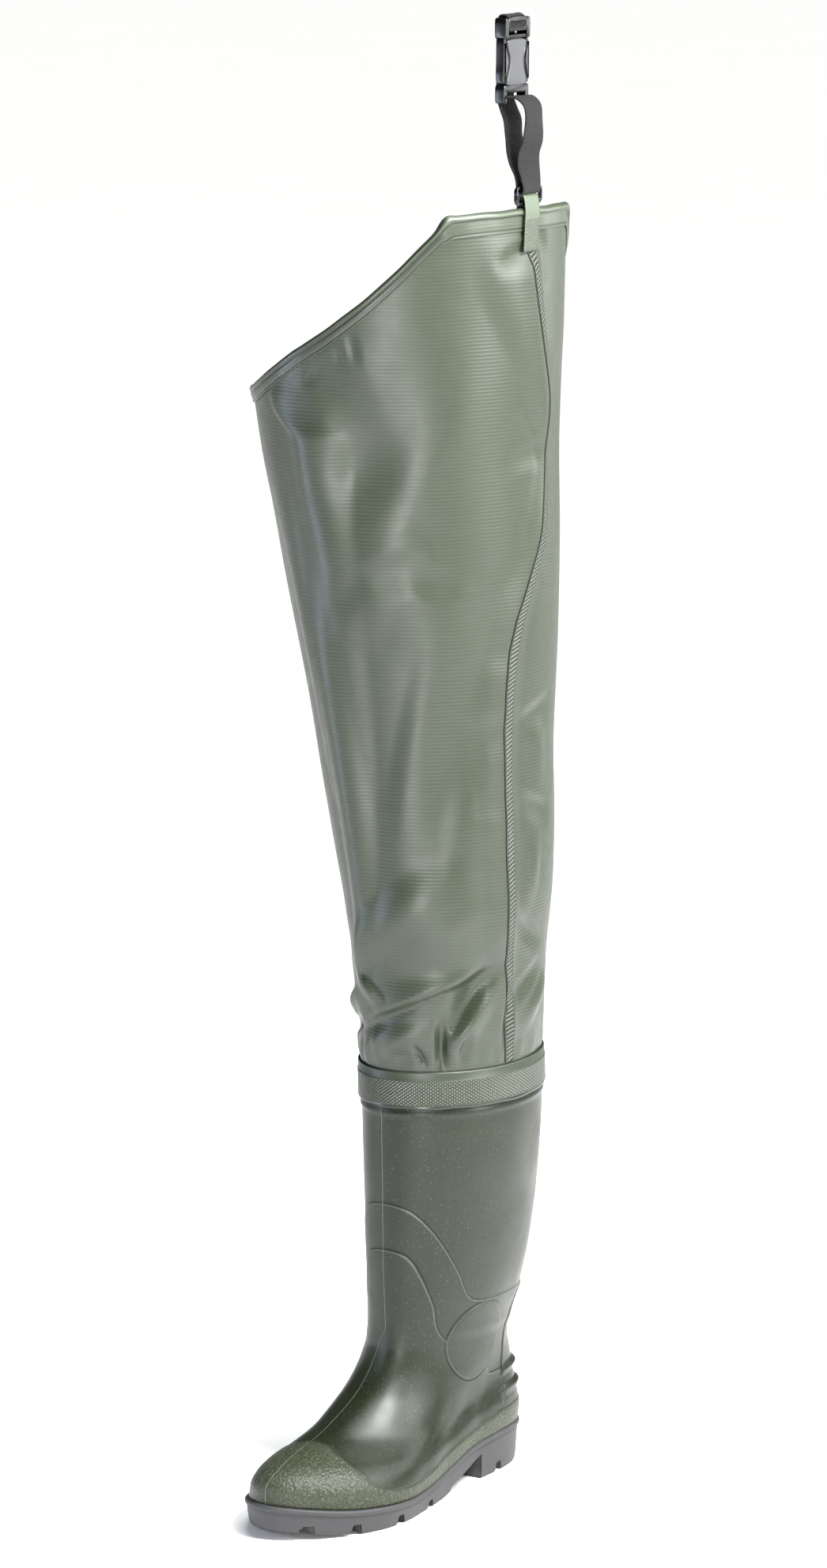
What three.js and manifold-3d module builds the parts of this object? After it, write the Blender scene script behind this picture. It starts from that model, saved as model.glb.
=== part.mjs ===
// Hip wader for the left leg: a moulded boot on its sole, a fabric leg welded to it,
// and a short belt strap with a fastened buckle. Millimetres, +Z up, toe towards -Y,
// outer side towards +X, floor at z = 0.
import * as THREE from "three";
import Module from "manifold-3d";

const wasm = await Module();
wasm.setup();

// Sizes of the whole
const SOLE_LENGTH = 305;
const BALL_LATERAL = 57.5;
const BALL_MEDIAL = 52.5;
const HEEL_BACK = 40;
const HEEL_HEIGHT = 34;
const TOE_HEIGHT = 28.5;
const INSTEP_HEIGHT = 120;
const SHAFT_TOP = 333;
const LEG_TOP = 1016;

// Walls and clearances
const UPPER_WALL = 2.4;
const FABRIC_WALL = 1.0;
const CLEARANCE = 0.3;
const INSOLE_THICKNESS = 4;

// Raised panels of the moulded upper, each measured from the plain shaft
const SHIN_STEP = 0.6;
const VAMP_STEP = 1.2;
const FOXING_STEP = 2.1;
const COUNTER_STEP = 1.3;
const DISC_STEP = 1.5;

// Number of points round the boot and leg, and round the sole
const AROUND = 40;
const SOLE_AROUND = 60;

// Sole outline: share of the length from the heel's back, then the half widths as
// multiples of the two ball widths, on top of a half ellipse.
const OUTLINE = table(["share", "lateral", "medial"], [
  [0.0, 1.18, 1.22],
  [0.05, 1.12, 1.16],
  [0.12, 0.98, 1.02],
  [0.2, 0.86, 0.88],
  [0.3, 0.78, 0.76],
  [0.42, 0.8, 0.74],
  [0.55, 0.92, 0.86],
  [0.66, 1.05, 1.0],
  [0.76, 1.14, 1.12],
  [0.86, 1.17, 1.2],
  [0.94, 1.13, 1.24],
  [1.0, 1.05, 1.22],
]);
const TOE_BEND = 9;
const TOE_BEND_FROM = 0.62;

// Height of the sole's lip along the foot, as shares of the heel height
const LIP = table(["share", "height"], [
  [0.0, 1.0],
  [0.12, 1.015],
  [0.3, 0.93],
  [0.45, 0.66],
  [0.62, 0.515],
  [0.8, 0.59],
  [1.0, TOE_HEIGHT / HEEL_HEIGHT],
]);

// Underside of the sole: toe spring as shares of the toe height
const SPRING = table(["share", "height"], [
  [0.0, 0.0],
  [0.72, 0.0],
  [0.85, 0.065],
  [1.0, 0.3],
]);

// Arch: the hollow between heel block and forepart, as shares of the heel height
const ARCH = table(["share", "height"], [
  [0.27, -0.2],
  [0.276, 0.6],
  [0.325, 0.445],
  [0.36, 0.35],
  [0.415, 0.205],
  [0.422, 0.1],
  [0.5, -0.004],
  [0.5, -0.2],
]);
const ARCH_SKEW = 0.032;

// Channels between the lugs: where each one leaves the outer and the inner side
const CHANNELS = table(["lateral", "medial", "depth"], [
  [0.06, 0.067, 7],
  [0.171, 0.197, 8],
  [0.527, 0.552, 7],
  [0.688, 0.672, 8],
  [0.833, 0.801, 8],
  [0.933, 0.93, 7],
]);
const CHANNEL_TOP = 6;
const CHANNEL_FOOT = 9.5;

// Upper: one row per ring from the sole lip to the shaft's top. Front and back give where
// the ring meets the middle line, as shares of the sole length; their rises run from 0 at
// the lip over 1 at the instep to 2 at the shaft's top. Lateral and medial multiply the
// sole's half widths, and round turns the sole's outline into a plain oval.
const UPPER = table(
  ["front", "frontRise", "back", "backRise", "lateral", "medial", "round"],
  [
    [0.98, 0.0, 0.013, 0.0, 0.925, 0.92, 0.0],
    [0.98, 0.104, 0.0066, 0.128, 0.94, 0.87, 0.0],
    [0.959, 0.197, 0.005, 0.244, 0.905, 0.83, 0.05],
    [0.913, 0.257, 0.008, 0.349, 0.83, 0.815, 0.12],
    [0.843, 0.295, 0.01, 0.43, 0.76, 0.84, 0.22],
    [0.742, 0.366, 0.013, 0.512, 0.69, 0.87, 0.38],
    [0.66, 0.497, 0.016, 0.605, 0.64, 0.905, 0.58],
    [0.586, 0.656, 0.021, 0.698, 0.61, 0.935, 0.8],
    [0.535, 0.831, 0.03, 0.791, 0.6, 0.955, 0.95],
    [0.511, 1.0, 0.033, 0.907, 0.615, 0.935, 1.0],
    [0.5066, 1.085, 0.023, 1.028, 0.69, 0.925, 1.0],
    [0.5115, 1.197, 0.0, 1.141, 0.82, 0.94, 1.0],
    [0.518, 1.357, -0.0246, 1.319, 0.945, 0.975, 1.0],
    [0.523, 1.587, -0.0377, 1.563, 1.07, 1.01, 1.0],
    [0.528, 1.845, -0.0393, 1.845, 1.17, 1.035, 1.0],
    [0.5295, 2.0, -0.0344, 2.0, 1.185, 1.05, 1.0],
  ],
);
const UPPER_TOP = UPPER.share.length - 1;
const SHAFT_RIB_HEIGHT = 1.3;
const SHAFT_RIB = { ring: 14.37, half: 0.09 };

// Side outlines of the raised panels: share of the length, then rise as above
const SHIN_EDGE = table(["share", "rise"], [
  [1.2, 1.568],
  [0.528, 1.568],
  [0.5, 1.532],
  [0.456, 1.441],
  [0.39, 1.282],
  [0.362, 1.208],
  [0.33, 1.166],
  [0.269, 1.15],
  [-0.2, 1.136],
  [-0.2, -0.6],
  [1.2, -0.6],
]);
const VAMP_EDGE = table(["share", "rise"], [
  [1.2, 1.395],
  [0.523, 1.39],
  [0.495, 1.345],
  [0.446, 1.174],
  [0.4, 1.028],
  [0.223, 0.663],
  [0.2, 0.57],
  [0.128, 0.535],
  [0.138, 0.349],
  [0.167, 0.209],
  [0.167, -0.6],
  [1.2, -0.6],
]);
const FOXING_EDGE = table(["share", "rise"], [
  [1.2, 0.9],
  [0.755, 0.9],
  [0.757, 0.372],
  [0.78, 0.25],
  [0.784, 0.14],
  [0.77, 0.035],
  [0.728, -0.035],
  [0.649, -0.058],
  [0.544, -0.035],
  [0.361, 0.093],
  [0.164, 0.198],
  [-0.2, 0.267],
  [-0.2, -0.6],
  [1.2, -0.6],
]);
const COUNTER_EDGE = table(["share", "rise"], [
  [0.079, 1.141],
  [0.12, 1.0],
  [0.133, 0.6],
  [0.144, 0.349],
  [0.173, 0.209],
  [0.173, -0.6],
  [-0.2, -0.6],
  [-0.2, 1.136],
]);
const DISC = { share: 0.285, rise: 0.977, radius: 33 };

// Kick ribs across the back of the heel: ring of the upper, how far they stand out as a
// share of the rib height, and how far round they reach
const KICK_RIB_HEIGHT = 6.4;
const KICK_RIBS = table(["ring", "height", "half", "reach"], [
  [5.3, 1.0, 0.75, 50],
  [3.1, 0.97, 0.7, 50],
]);

// Leg: one row per section from the shaft's top (0) to the hip (1). Side and ahead move
// the centre, in shares of the shaft's half width; width and depth multiply the shaft.
const LEG = table(["share", "side", "ahead", "width", "depth"], [
  [0.0, 0.0, 0.0, 1.0, 1.0],
  [0.025, 0.0, 0.016, 1.008, 1.0],
  [0.068, 0.024, 0.065, 1.055, 1.012],
  [0.127, 0.048, 0.097, 1.075, 1.035],
  [0.2, 0.04, 0.12, 1.17, 1.095],
  [0.287, -0.032, 0.13, 1.275, 1.16],
  [0.389, -0.145, 0.145, 1.37, 1.215],
  [0.505, -0.2, 0.21, 1.525, 1.28],
  [0.622, -0.275, 0.29, 1.67, 1.35],
  [0.738, -0.37, 0.38, 1.8, 1.425],
  [0.854, -0.41, 0.42, 1.9, 1.5],
  [1.0, -0.44, 0.45, 1.97, 1.555],
]);

// Collar: height of the fabric's edge by the angle from the outer seam
const COLLAR = table(["angle", "height"], [
  [0, 1.0],
  [30, 0.996],
  [36, 0.98],
  [48, 0.941],
  [62, 0.9],
  [78, 0.862],
  [95, 0.831],
  [125, 0.795],
  [180, 0.777],
]);
const COLLAR_SEAM = 93;

// Main folds of the leg: angle round the leg, height as a share, slope of the fold,
// half its length and half its width, and how far it goes out (+) or in (-)
const FOLDS = table(["angle", "share", "slope", "long", "broad", "out"], [
  [192, 0.5, 97, 190, 34, 6],
  [153, 0.74, 60, 110, 45, -5],
  [150, 0.6, 130, 110, 50, 4],
  [165, 0.12, 24, 150, 26, -6],
  [175, 0.19, 28, 130, 26, 5],
  [70, 0.74, 80, 90, 35, -5],
  [118, 0.36, 82, 130, 40, 4],
  [300, 0.45, 95, 200, 55, 5],
  [335, 0.3, 60, 140, 45, -5],
  [20, 0.55, 100, 180, 50, -4],
]);

// Where the outer seam runs, by height
const SEAM = table(["share", "angle"], [
  [0.0, 96],
  [0.1, 99],
  [0.2, 104],
  [0.45, 104],
  [0.535, 99],
  [0.58, 92],
  [0.65, 81],
  [0.72, 77],
  [0.79, 81],
  [0.86, 87],
  [0.93, 91],
  [1.0, COLLAR_SEAM],
]);
const SEAM_WIDTH = 11;

const BAND_BELOW = 14;
const BAND_ABOVE = 15;
const BAND_THICKNESS = 2.1;
const BAND_RIM = 7.3;
const BAND_RIM_STEP = 0.7;
const HEM_DROP = 12;
const BEAD = 2.6;

// Belt loop, ring, webbing and buckle
const LOOP_WIDTH = 18;
const LOOP_THICKNESS = 1.4;
const LOOP_DROP = 28;
const RING_BAR = 3.4;
const RING_LENGTH = 34;
const RING_HEIGHT = 15.5;
const RING_CORNER = 3.6;
const WEBBING_WIDTH = 22;
const WEBBING_THICKNESS = 1.5;
const STRAP_RISE = 62.5;
const STRAP_SWAY = 20.2;

// Strap between ring and buckle, from the buckle's bar down in front, round the ring and up
// behind: out as a share of the sway, up as a share of the rise above the ring, and twist
const STRAP_FRONT = table(["out", "up", "twist"], [
  [-0.218, 1.076, 0],
  [0.15, 0.985, 0],
  [0.25, 0.815, 0],
  [0.2, 0.57, 6],
  [0.025, 0.41, 12],
  [0.02, 0.265, 12],
  [0.09, 0.135, 5],
]);
const STRAP_BEHIND = table(["out", "up", "twist"], [
  [-0.213, 0.135, -3],
  [-0.426, 0.3, -6],
  [-0.594, 0.45, -3],
  [-0.663, 0.605, 0],
  [-0.723, 0.79, 0],
  [-0.92, 0.925, 0],
]);
const BUCKLE_WIDTH = 32;
const BUCKLE_LENGTH = 64;
const BUCKLE_THICKNESS = 9.6;

// Columns of a table, with a share column that counts the rows where it has none
function table(names, rows) {
  const columns = {};
  names.forEach((name, k) => {
    columns[name] = rows.map((row) => row[k]);
  });
  if (!columns.share) columns.share = rows.map((row, k) => k);
  return columns;
}

// Smooth value of one column at a share, with no overshoot between the rows
function along(columns, name, at) {
  const xs = columns.share;
  const ys = columns[name];
  const last = xs.length - 1;
  const x = Math.min(Math.max(at, xs[0]), xs[last]);
  let i = 0;
  while (i < last - 1 && x > xs[i + 1]) i += 1;
  const slope = (k) => (ys[k + 1] - ys[k]) / (xs[k + 1] - xs[k]);
  const tangent = (k) => {
    if (k === 0) return slope(0);
    if (k === last) return slope(last - 1);
    const before = slope(k - 1);
    const after = slope(k);
    if (before * after <= 0) return 0;
    const hb = xs[k] - xs[k - 1];
    const ha = xs[k + 1] - xs[k];
    return (3 * (hb + ha)) / ((2 * ha + hb) / before + (ha + 2 * hb) / after);
  };
  const h = xs[i + 1] - xs[i];
  const t = (x - xs[i]) / h;
  const u = 1 - t;
  return (
    ys[i] * (1 + 2 * t) * u * u +
    tangent(i) * h * t * u * u +
    ys[i + 1] * t * t * (3 - 2 * t) -
    tangent(i + 1) * h * t * t * u
  );
}

const radians = (degrees) => (degrees * Math.PI) / 180;
const mix = (a, b, t) => a + (b - a) * t;
const footY = (share) => HEEL_BACK - share * SOLE_LENGTH;

// Solid from points and triangles, turned so that its faces point outwards
function solid(points, faces) {
  let volume = 0;
  for (const [a, b, c] of faces) {
    const p = points[a];
    const q = points[b];
    const r = points[c];
    volume +=
      p[0] * (q[1] * r[2] - q[2] * r[1]) -
      p[1] * (q[0] * r[2] - q[2] * r[0]) +
      p[2] * (q[0] * r[1] - q[1] * r[0]);
  }
  const turned = volume < 0 ? faces.map(([a, b, c]) => [a, c, b]) : faces;
  const mesh = new wasm.Mesh({
    numProp: 3,
    vertProperties: new Float32Array(points.flat()),
    triVerts: new Uint32Array(turned.flat()),
  });
  mesh.merge();
  return new wasm.Manifold(mesh);
}

// Solid between rings of equal size. A closed loft joins the last ring to the first;
// otherwise both end rings are closed straight across.
function loft(rings, closed = false) {
  const n = rings[0].length;
  const points = rings.flat();
  const faces = [];
  const spans = closed ? rings.length : rings.length - 1;
  for (let j = 0; j < spans; j += 1) {
    const lower = j * n;
    const upper = ((j + 1) % rings.length) * n;
    for (let i = 0; i < n; i += 1) {
      const k = (i + 1) % n;
      faces.push([lower + i, lower + k, upper + k]);
      faces.push([lower + i, upper + k, upper + i]);
    }
  }
  if (!closed) {
    const top = (rings.length - 1) * n;
    const half = Math.floor(n / 2);
    for (let i = 0; i < half; i += 1) {
      const a = i;
      const b = i + 1;
      const c = n - i - 1;
      const d = (n - i) % n;
      if (b !== c) {
        faces.push([c, b, a]);
        faces.push([top + a, top + b, top + c]);
      }
      if (d !== a) {
        faces.push([d, c, a]);
        faces.push([top + a, top + c, top + d]);
      }
    }
  }
  return solid(points, faces);
}

// Prism between two outlines of (y, z) points that stand at two values of x
function prism(outline, x0, x1, farOutline = outline) {
  const plane = (points) => points.map(([y, z]) => new THREE.Vector2(y, z));
  const clockwise = THREE.ShapeUtils.area(plane(outline)) < 0;
  const near = clockwise ? [...outline].reverse() : outline;
  const far = clockwise ? [...farOutline].reverse() : farOutline;
  const n = near.length;
  const points = [
    ...near.map(([y, z]) => [x0, y, z]),
    ...far.map(([y, z]) => [x1, y, z]),
  ];
  const faces = [];
  for (const [a, b, c] of THREE.ShapeUtils.triangulateShape(plane(near), [])) {
    faces.push([a, c, b], [n + a, n + b, n + c]);
  }
  for (let i = 0; i < n; i += 1) {
    const k = (i + 1) % n;
    faces.push([i, k, n + k], [i, n + k, n + i]);
  }
  return solid(points, faces);
}

// Strip with a flat section that follows a path of (x, z, twist) in the plane y = at,
// with a few steps between each two points of the path
function ribbon(path, at, width, thickness, each) {
  const steps = (path.length - 1) * each;
  const curve = new THREE.CatmullRomCurve3(
    path.map(([x, z, twist = 0]) => new THREE.Vector3(x, twist, z)),
    false,
    "centripetal",
  );
  const rings = [];
  for (let i = 0; i <= steps; i += 1) {
    const p = curve.getPoint(i / steps);
    const before = curve.getPoint(Math.max(0, (i - 0.2) / steps));
    const after = curve.getPoint(Math.min(1, (i + 0.2) / steps));
    const heading = new THREE.Vector3(after.x - before.x, 0, after.z - before.z);
    heading.normalize();
    const across = new THREE.Vector3(0, 1, 0);
    across.applyAxisAngle(heading, radians(p.y));
    const out = new THREE.Vector3().crossVectors(across, heading);
    rings.push(
      [[-1, -1], [1, -1], [1, 1], [-1, 1]].map(([a, b]) => {
        const side = (a * width) / 2;
        const deep = (b * thickness) / 2;
        return [
          p.x + across.x * side + out.x * deep,
          at + across.y * side + out.y * deep,
          p.z + across.z * side + out.z * deep,
        ];
      }),
    );
  }
  return loft(rings);
}

// Sole: half widths, middle line and outline points
function halfWidths(share) {
  return [
    BALL_LATERAL * along(OUTLINE, "lateral", share),
    BALL_MEDIAL * along(OUTLINE, "medial", share),
  ];
}

function middle(share) {
  const q = Math.min(Math.max((share - TOE_BEND_FROM) / (1 - TOE_BEND_FROM), 0), 1);
  return -TOE_BEND * q * q * (3 - 2 * q);
}

const lipHeight = (share) => HEEL_HEIGHT * along(LIP, "height", share);
const underside = (share) => TOE_HEIGHT * along(SPRING, "height", share);

function outlinePoint(angle, inset) {
  const place = (a) => {
    const share = (1 - Math.cos(a)) / 2;
    const [lateral, medial] = halfWidths(share);
    const s = Math.sin(a);
    return [middle(share) + (s >= 0 ? lateral : medial) * s, footY(share)];
  };
  const [x, y] = place(angle);
  const [x0, y0] = place(angle - 0.01);
  const [x1, y1] = place(angle + 0.01);
  const length = Math.hypot(x1 - x0, y1 - y0);
  return [x + ((y1 - y0) / length) * inset, y - ((x1 - x0) / length) * inset];
}

function buildOutsole() {
  const ring = (inset, height) => {
    const points = [];
    for (let i = 0; i < SOLE_AROUND; i += 1) {
      const angle = (2 * Math.PI * i) / SOLE_AROUND;
      const share = (1 - Math.cos(angle)) / 2;
      const [x, y] = outlinePoint(angle, inset);
      points.push([x, y, height(share)]);
    }
    return points;
  };
  const body = loft([
    ring(4.4, (share) => underside(share)),
    ring(3.2, (share) => underside(share) + 1.4),
    ring(1.7, (share) => lipHeight(share) - 5),
    ring(0.1, (share) => lipHeight(share) - 3.8),
    ring(0.1, (share) => lipHeight(share) - 0.9),
    ring(1.1, (share) => lipHeight(share)),
  ]);
  const archSide = (shift) =>
    ARCH.share.map((share, k) => [
      footY(share + (k < 2 ? shift : 0)),
      ARCH.height[k] * HEEL_HEIGHT,
    ]);
  const wide = 2 * Math.max(BALL_LATERAL, BALL_MEDIAL);
  let made = body.subtract(
    prism(archSide(ARCH_SKEW), -wide, wide, archSide(-ARCH_SKEW)),
  );
  CHANNELS.lateral.forEach((lateral, k) => {
    const medial = CHANNELS.medial[k];
    const depth = CHANNELS.depth[k];
    const slot = (share, x) => {
      const inner = wide / (2 * BALL_LATERAL);
      const y = footY(mix((lateral + medial) / 2, share, inner));
      const base = underside((lateral + medial) / 2);
      return [
        [y - CHANNEL_FOOT / 2 - 1.2, base - 5],
        [y + CHANNEL_FOOT / 2 + 1.2, base - 5],
        [y + CHANNEL_TOP / 2, base + depth],
        [y - CHANNEL_TOP / 2, base + depth],
      ];
    };
    made = made.subtract(prism(slot(medial), -wide, wide, slot(lateral)));
  });
  return made;
}

// Height of a rise value: 0 at the lip, 1 at the instep, 2 at the shaft's top
function riseHeight(rise, lip = HEEL_HEIGHT) {
  if (rise <= 1) return lip + rise * (INSTEP_HEIGHT - lip);
  return INSTEP_HEIGHT + (rise - 1) * (SHAFT_TOP - INSTEP_HEIGHT);
}

// Plain surface of the upper at an angle (0 back, 90 outer side, 180 toe) and a ring
function upperPoint(angle, ring) {
  const value = (name) => along(UPPER, name, ring);
  const share = (1 - Math.cos(angle)) / 2;
  const [lateral, medial] = halfWidths(share);
  const round = value("round");
  const s = Math.sin(angle);
  const half =
    s >= 0
      ? value("lateral") * mix(lateral, BALL_LATERAL, round)
      : value("medial") * mix(medial, BALL_MEDIAL, round);
  const x = (1 - round) * middle(share) + half * s;
  const y = footY(mix(value("back"), value("front"), share));
  const frontZ = riseHeight(value("frontRise"), TOE_HEIGHT);
  const backZ = riseHeight(value("backRise"), HEEL_HEIGHT);
  const sag = lipHeight(share) - mix(HEEL_HEIGHT, TOE_HEIGHT, share);
  return [x, y, mix(backZ, frontZ, share) + (1 - round) * sag];
}

function normalOf(surface, a, b, da, db) {
  const p = surface(a - da, b);
  const q = surface(a + da, b);
  const r = surface(a, b - db);
  const s = surface(a, b + db);
  const u = new THREE.Vector3(q[0] - p[0], q[1] - p[1], q[2] - p[2]);
  const v = new THREE.Vector3(s[0] - r[0], s[1] - r[1], s[2] - r[2]);
  return v.cross(u).normalize();
}

// Surface of the upper moved out by a lift. The lowest ring only moves level, so that it
// stays on the sole's lip.
function liftedUpper(angle, ring, lift) {
  const p = upperPoint(angle, ring);
  const n = normalOf(upperPoint, angle, Math.min(Math.max(ring, 0.05), UPPER_TOP - 0.05), 0.01, 0.05);
  const level = Math.min(Math.max(1 - ring, 0), 1);
  const upright = Math.min(Math.max(ring - (UPPER_TOP - 1), 0), 1);
  n.z *= 1 - Math.max(level, upright);
  n.normalize();
  return [
    p[0] + n.x * lift,
    p[1] + n.y * lift,
    p[2] + n.z * lift + (ring === 0 ? CLEARANCE + 0.15 : 0),
  ];
}

function upperRing(ring, lift) {
  const points = [];
  for (let i = 0; i < AROUND; i += 1) {
    points.push(liftedUpper((2 * Math.PI * i) / AROUND, ring, lift));
  }
  return points;
}

// Rings that form the upper; the rib near the shaft's top needs three more
const RINGS_LOW = [0, 1, 2, 3, 4, 5, 6, 7, 8, 9, 10, 11, 12];
const RINGS_INNER = [0, 1, 2, 3.4, 5, 6.5, 8, 9, 10, 11.2, 12.6, 15];

function upperForm(lift) {
  const rings = RINGS_LOW.map((ring) => upperRing(ring, lift));
  rings.push(upperRing(13, lift));
  if (lift === 0) {
    const { ring, half } = SHAFT_RIB;
    rings.push(upperRing(ring - half, lift));
    rings.push(upperRing(ring, lift + SHAFT_RIB_HEIGHT));
    rings.push(upperRing(ring + half, lift));
    rings.push(upperRing(UPPER_TOP, lift));
  }
  return loft(rings);
}

const sidePrism = (edge) =>
  prism(
    edge.share.map((share, k) => [footY(share), riseHeight(edge.rise[k])]),
    -2 * BALL_MEDIAL,
    2 * BALL_LATERAL,
  );

// Rib on the back of the heel: a triangle that grows out of the wall and dies away
function kickRib(k) {
  const steps = 12;
  const reach = KICK_RIBS.reach[k];
  const rings = [];
  for (let i = 0; i <= steps; i += 1) {
    const t = (2 * i) / steps - 1;
    const angle = radians(t * reach);
    const rise = KICK_RIB_HEIGHT * KICK_RIBS.height[k] * Math.sqrt(Math.max(0, 1 - t * t));
    const root = UPPER_WALL / 3;
    const ring = KICK_RIBS.ring[k];
    const half = KICK_RIBS.half[k];
    rings.push([
      liftedUpper(angle, ring + half, 0.2),
      liftedUpper(angle, ring + half, -root),
      liftedUpper(angle, ring - half * 1.1, -root),
      liftedUpper(angle, ring - half * 1.1, 0.2),
      liftedUpper(angle, ring - half * 0.35, rise),
      liftedUpper(angle, ring + half * 0.05, rise),
    ]);
  }
  return loft(rings);
}

function buildBoot() {
  const disc = [];
  for (let i = 0; i < 24; i += 1) {
    const a = (2 * Math.PI * i) / 24;
    disc.push([
      footY(DISC.share) + DISC.radius * Math.cos(a),
      riseHeight(DISC.rise) + DISC.radius * Math.sin(a),
    ]);
  }
  const panel = (lift, edge) => upperForm(lift).intersect(sidePrism(edge));
  const discs = upperForm(DISC_STEP).intersect(
    prism(disc, -2 * BALL_MEDIAL, 2 * BALL_LATERAL),
  );
  let made = upperForm(0)
    .add(panel(SHIN_STEP, SHIN_EDGE))
    .add(panel(VAMP_STEP, VAMP_EDGE))
    .add(panel(COUNTER_STEP, COUNTER_EDGE))
    .add(discs)
    .add(panel(FOXING_STEP, FOXING_EDGE));
  KICK_RIBS.ring.forEach((ring, k) => {
    made = made.add(kickRib(k));
  });
  const inner = RINGS_INNER.map((ring) => upperRing(ring, -UPPER_WALL));
  const below = inner[0].map(([x, y, z]) => [x, y, z - 6]);
  const above = inner[inner.length - 1].map(([x, y, z]) => [x, y, z + 6]);
  return made.subtract(loft([below, ...inner, above]));
}

function buildInsole() {
  const ring = (rise) => {
    const points = [];
    for (let i = 0; i < AROUND; i += 1) {
      const angle = (2 * Math.PI * i) / AROUND;
      const share = (1 - Math.cos(angle)) / 2;
      const [x, y] = liftedUpper(angle, 0, -UPPER_WALL - 2 * CLEARANCE - 0.7);
      points.push([x, y, lipHeight(share) + rise]);
    }
    return points;
  };
  return loft([ring(2 * CLEARANCE), ring(2 * CLEARANCE + INSOLE_THICKNESS)]);
}

// Leg: the shaft's top section, carried up and widened
const shaftHalf = (BALL_LATERAL * 1.185 + BALL_MEDIAL * 1.05) / 2;

function legHeight(share) {
  return SHAFT_TOP + CLEARANCE + share * (LEG_TOP - SHAFT_TOP - CLEARANCE);
}

function plainLeg(angle, share) {
  const base = upperPoint(angle, UPPER_TOP);
  const front = upperPoint(Math.PI, UPPER_TOP);
  const back = upperPoint(0, UPPER_TOP);
  const outer = upperPoint(Math.PI / 2, UPPER_TOP);
  const inner = upperPoint(-Math.PI / 2, UPPER_TOP);
  const middleY = (front[1] + back[1]) / 2;
  const middleX = (outer[0] + inner[0]) / 2;
  const value = (name) => along(LEG, name, share);
  return [
    middleX + shaftHalf * value("side") + (base[0] - middleX) * value("width"),
    middleY - shaftHalf * value("ahead") + (base[1] - middleY) * value("depth"),
    legHeight(share),
  ];
}

// How far the folds move the fabric at an angle and a height
function foldLift(angle, share) {
  const girth = 115;
  let lift = 0;
  FOLDS.angle.forEach((centre, k) => {
    let turn = angle - radians(centre);
    turn = Math.atan2(Math.sin(turn), Math.cos(turn));
    const across = -turn * girth;
    const up = (share - FOLDS.share[k]) * (LEG_TOP - SHAFT_TOP);
    const slope = radians(FOLDS.slope[k]);
    const u = (across * Math.cos(slope) + up * Math.sin(slope)) / FOLDS.long[k];
    const v = (up * Math.cos(slope) - across * Math.sin(slope)) / FOLDS.broad[k];
    const bell = Math.max(0, 1 - u * u) * Math.max(0, 1 - v * v);
    lift += FOLDS.out[k] * bell * bell;
  });
  const calm = Math.min(share / 0.05, 1);
  return lift * calm;
}

function legPoint(angle, share, lift) {
  const p = plainLeg(angle, share);
  const n = normalOf(plainLeg, angle, Math.min(Math.max(share, 0.01), 1.02), 0.01, 0.01);
  n.z = 0;
  n.normalize();
  const out = lift + foldLift(angle, share);
  return [p[0] + n.x * out, p[1] + n.y * out, p[2]];
}

function collarShare(angle) {
  let turn = angle - radians(COLLAR_SEAM);
  turn = Math.abs(Math.atan2(Math.sin(turn), Math.cos(turn)));
  const found = { share: COLLAR.angle, height: COLLAR.height };
  return along(found, "height", (turn * 180) / Math.PI);
}

const LEG_ROWS = [
  0, 0.025, 0.06, 0.1, 0.14, 0.185, 0.23, 0.29, 0.37, 0.46, 0.56, 0.66, 0.76, 0.86, 0.94, 1,
];

// Height share of a row: even near the boot, following the collar near the top
function rowShare(angle, row) {
  return row * mix(1, collarShare(angle), Math.min(row / 0.5, 1));
}

function legRing(row, lift) {
  const points = [];
  for (let i = 0; i < AROUND; i += 1) {
    const angle = (2 * Math.PI * i) / AROUND;
    points.push(legPoint(angle, rowShare(angle, row), lift));
  }
  return points;
}

function buildLeg() {
  const outer = LEG_ROWS.map((row) => legRing(row, 0));
  const inner = LEG_ROWS.map((row) => legRing(row, -FABRIC_WALL)).reverse();
  return loft([...outer, ...inner], true);
}

// Filled leg, moved out by a lift, used to cut strips that lie on the fabric
function legForm(lift) {
  return loft(LEG_ROWS.map((row) => legRing(row, lift)));
}

// Ring of the upper that stands at a height of the shaft
function ringAt(height) {
  let low = 12;
  let high = UPPER_TOP;
  for (let i = 0; i < 30; i += 1) {
    const trial = (low + high) / 2;
    if (upperPoint(Math.PI, trial)[2] < height) low = trial;
    else high = trial;
  }
  return (low + high) / 2;
}

function buildWeldBand() {
  const ring = (lift, height) => {
    const points = [];
    for (let i = 0; i < AROUND; i += 1) {
      const angle = (2 * Math.PI * i) / AROUND;
      const share = Math.max(0, (height - SHAFT_TOP) / (LEG_TOP - SHAFT_TOP));
      const p =
        height > SHAFT_TOP
          ? legPoint(angle, share, lift)
          : liftedUpper(angle, ringAt(height), lift);
      points.push([p[0], p[1], height]);
    }
    return points;
  };
  const low = SHAFT_TOP - BAND_BELOW;
  const high = SHAFT_TOP + BAND_ABOVE;
  const inside = 2 * CLEARANCE;
  const outside = inside + BAND_THICKNESS;
  return loft(
    [
      ring(inside, low),
      ring(outside, low),
      ring(outside, high - BAND_RIM - BAND_RIM_STEP / 2),
      ring(outside - BAND_RIM_STEP, high - BAND_RIM + BAND_RIM_STEP / 2),
      ring(outside - BAND_RIM_STEP, high),
      ring(inside, high),
      ring(inside, SHAFT_TOP + 2 * CLEARANCE),
    ],
    true,
  );
}

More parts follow.
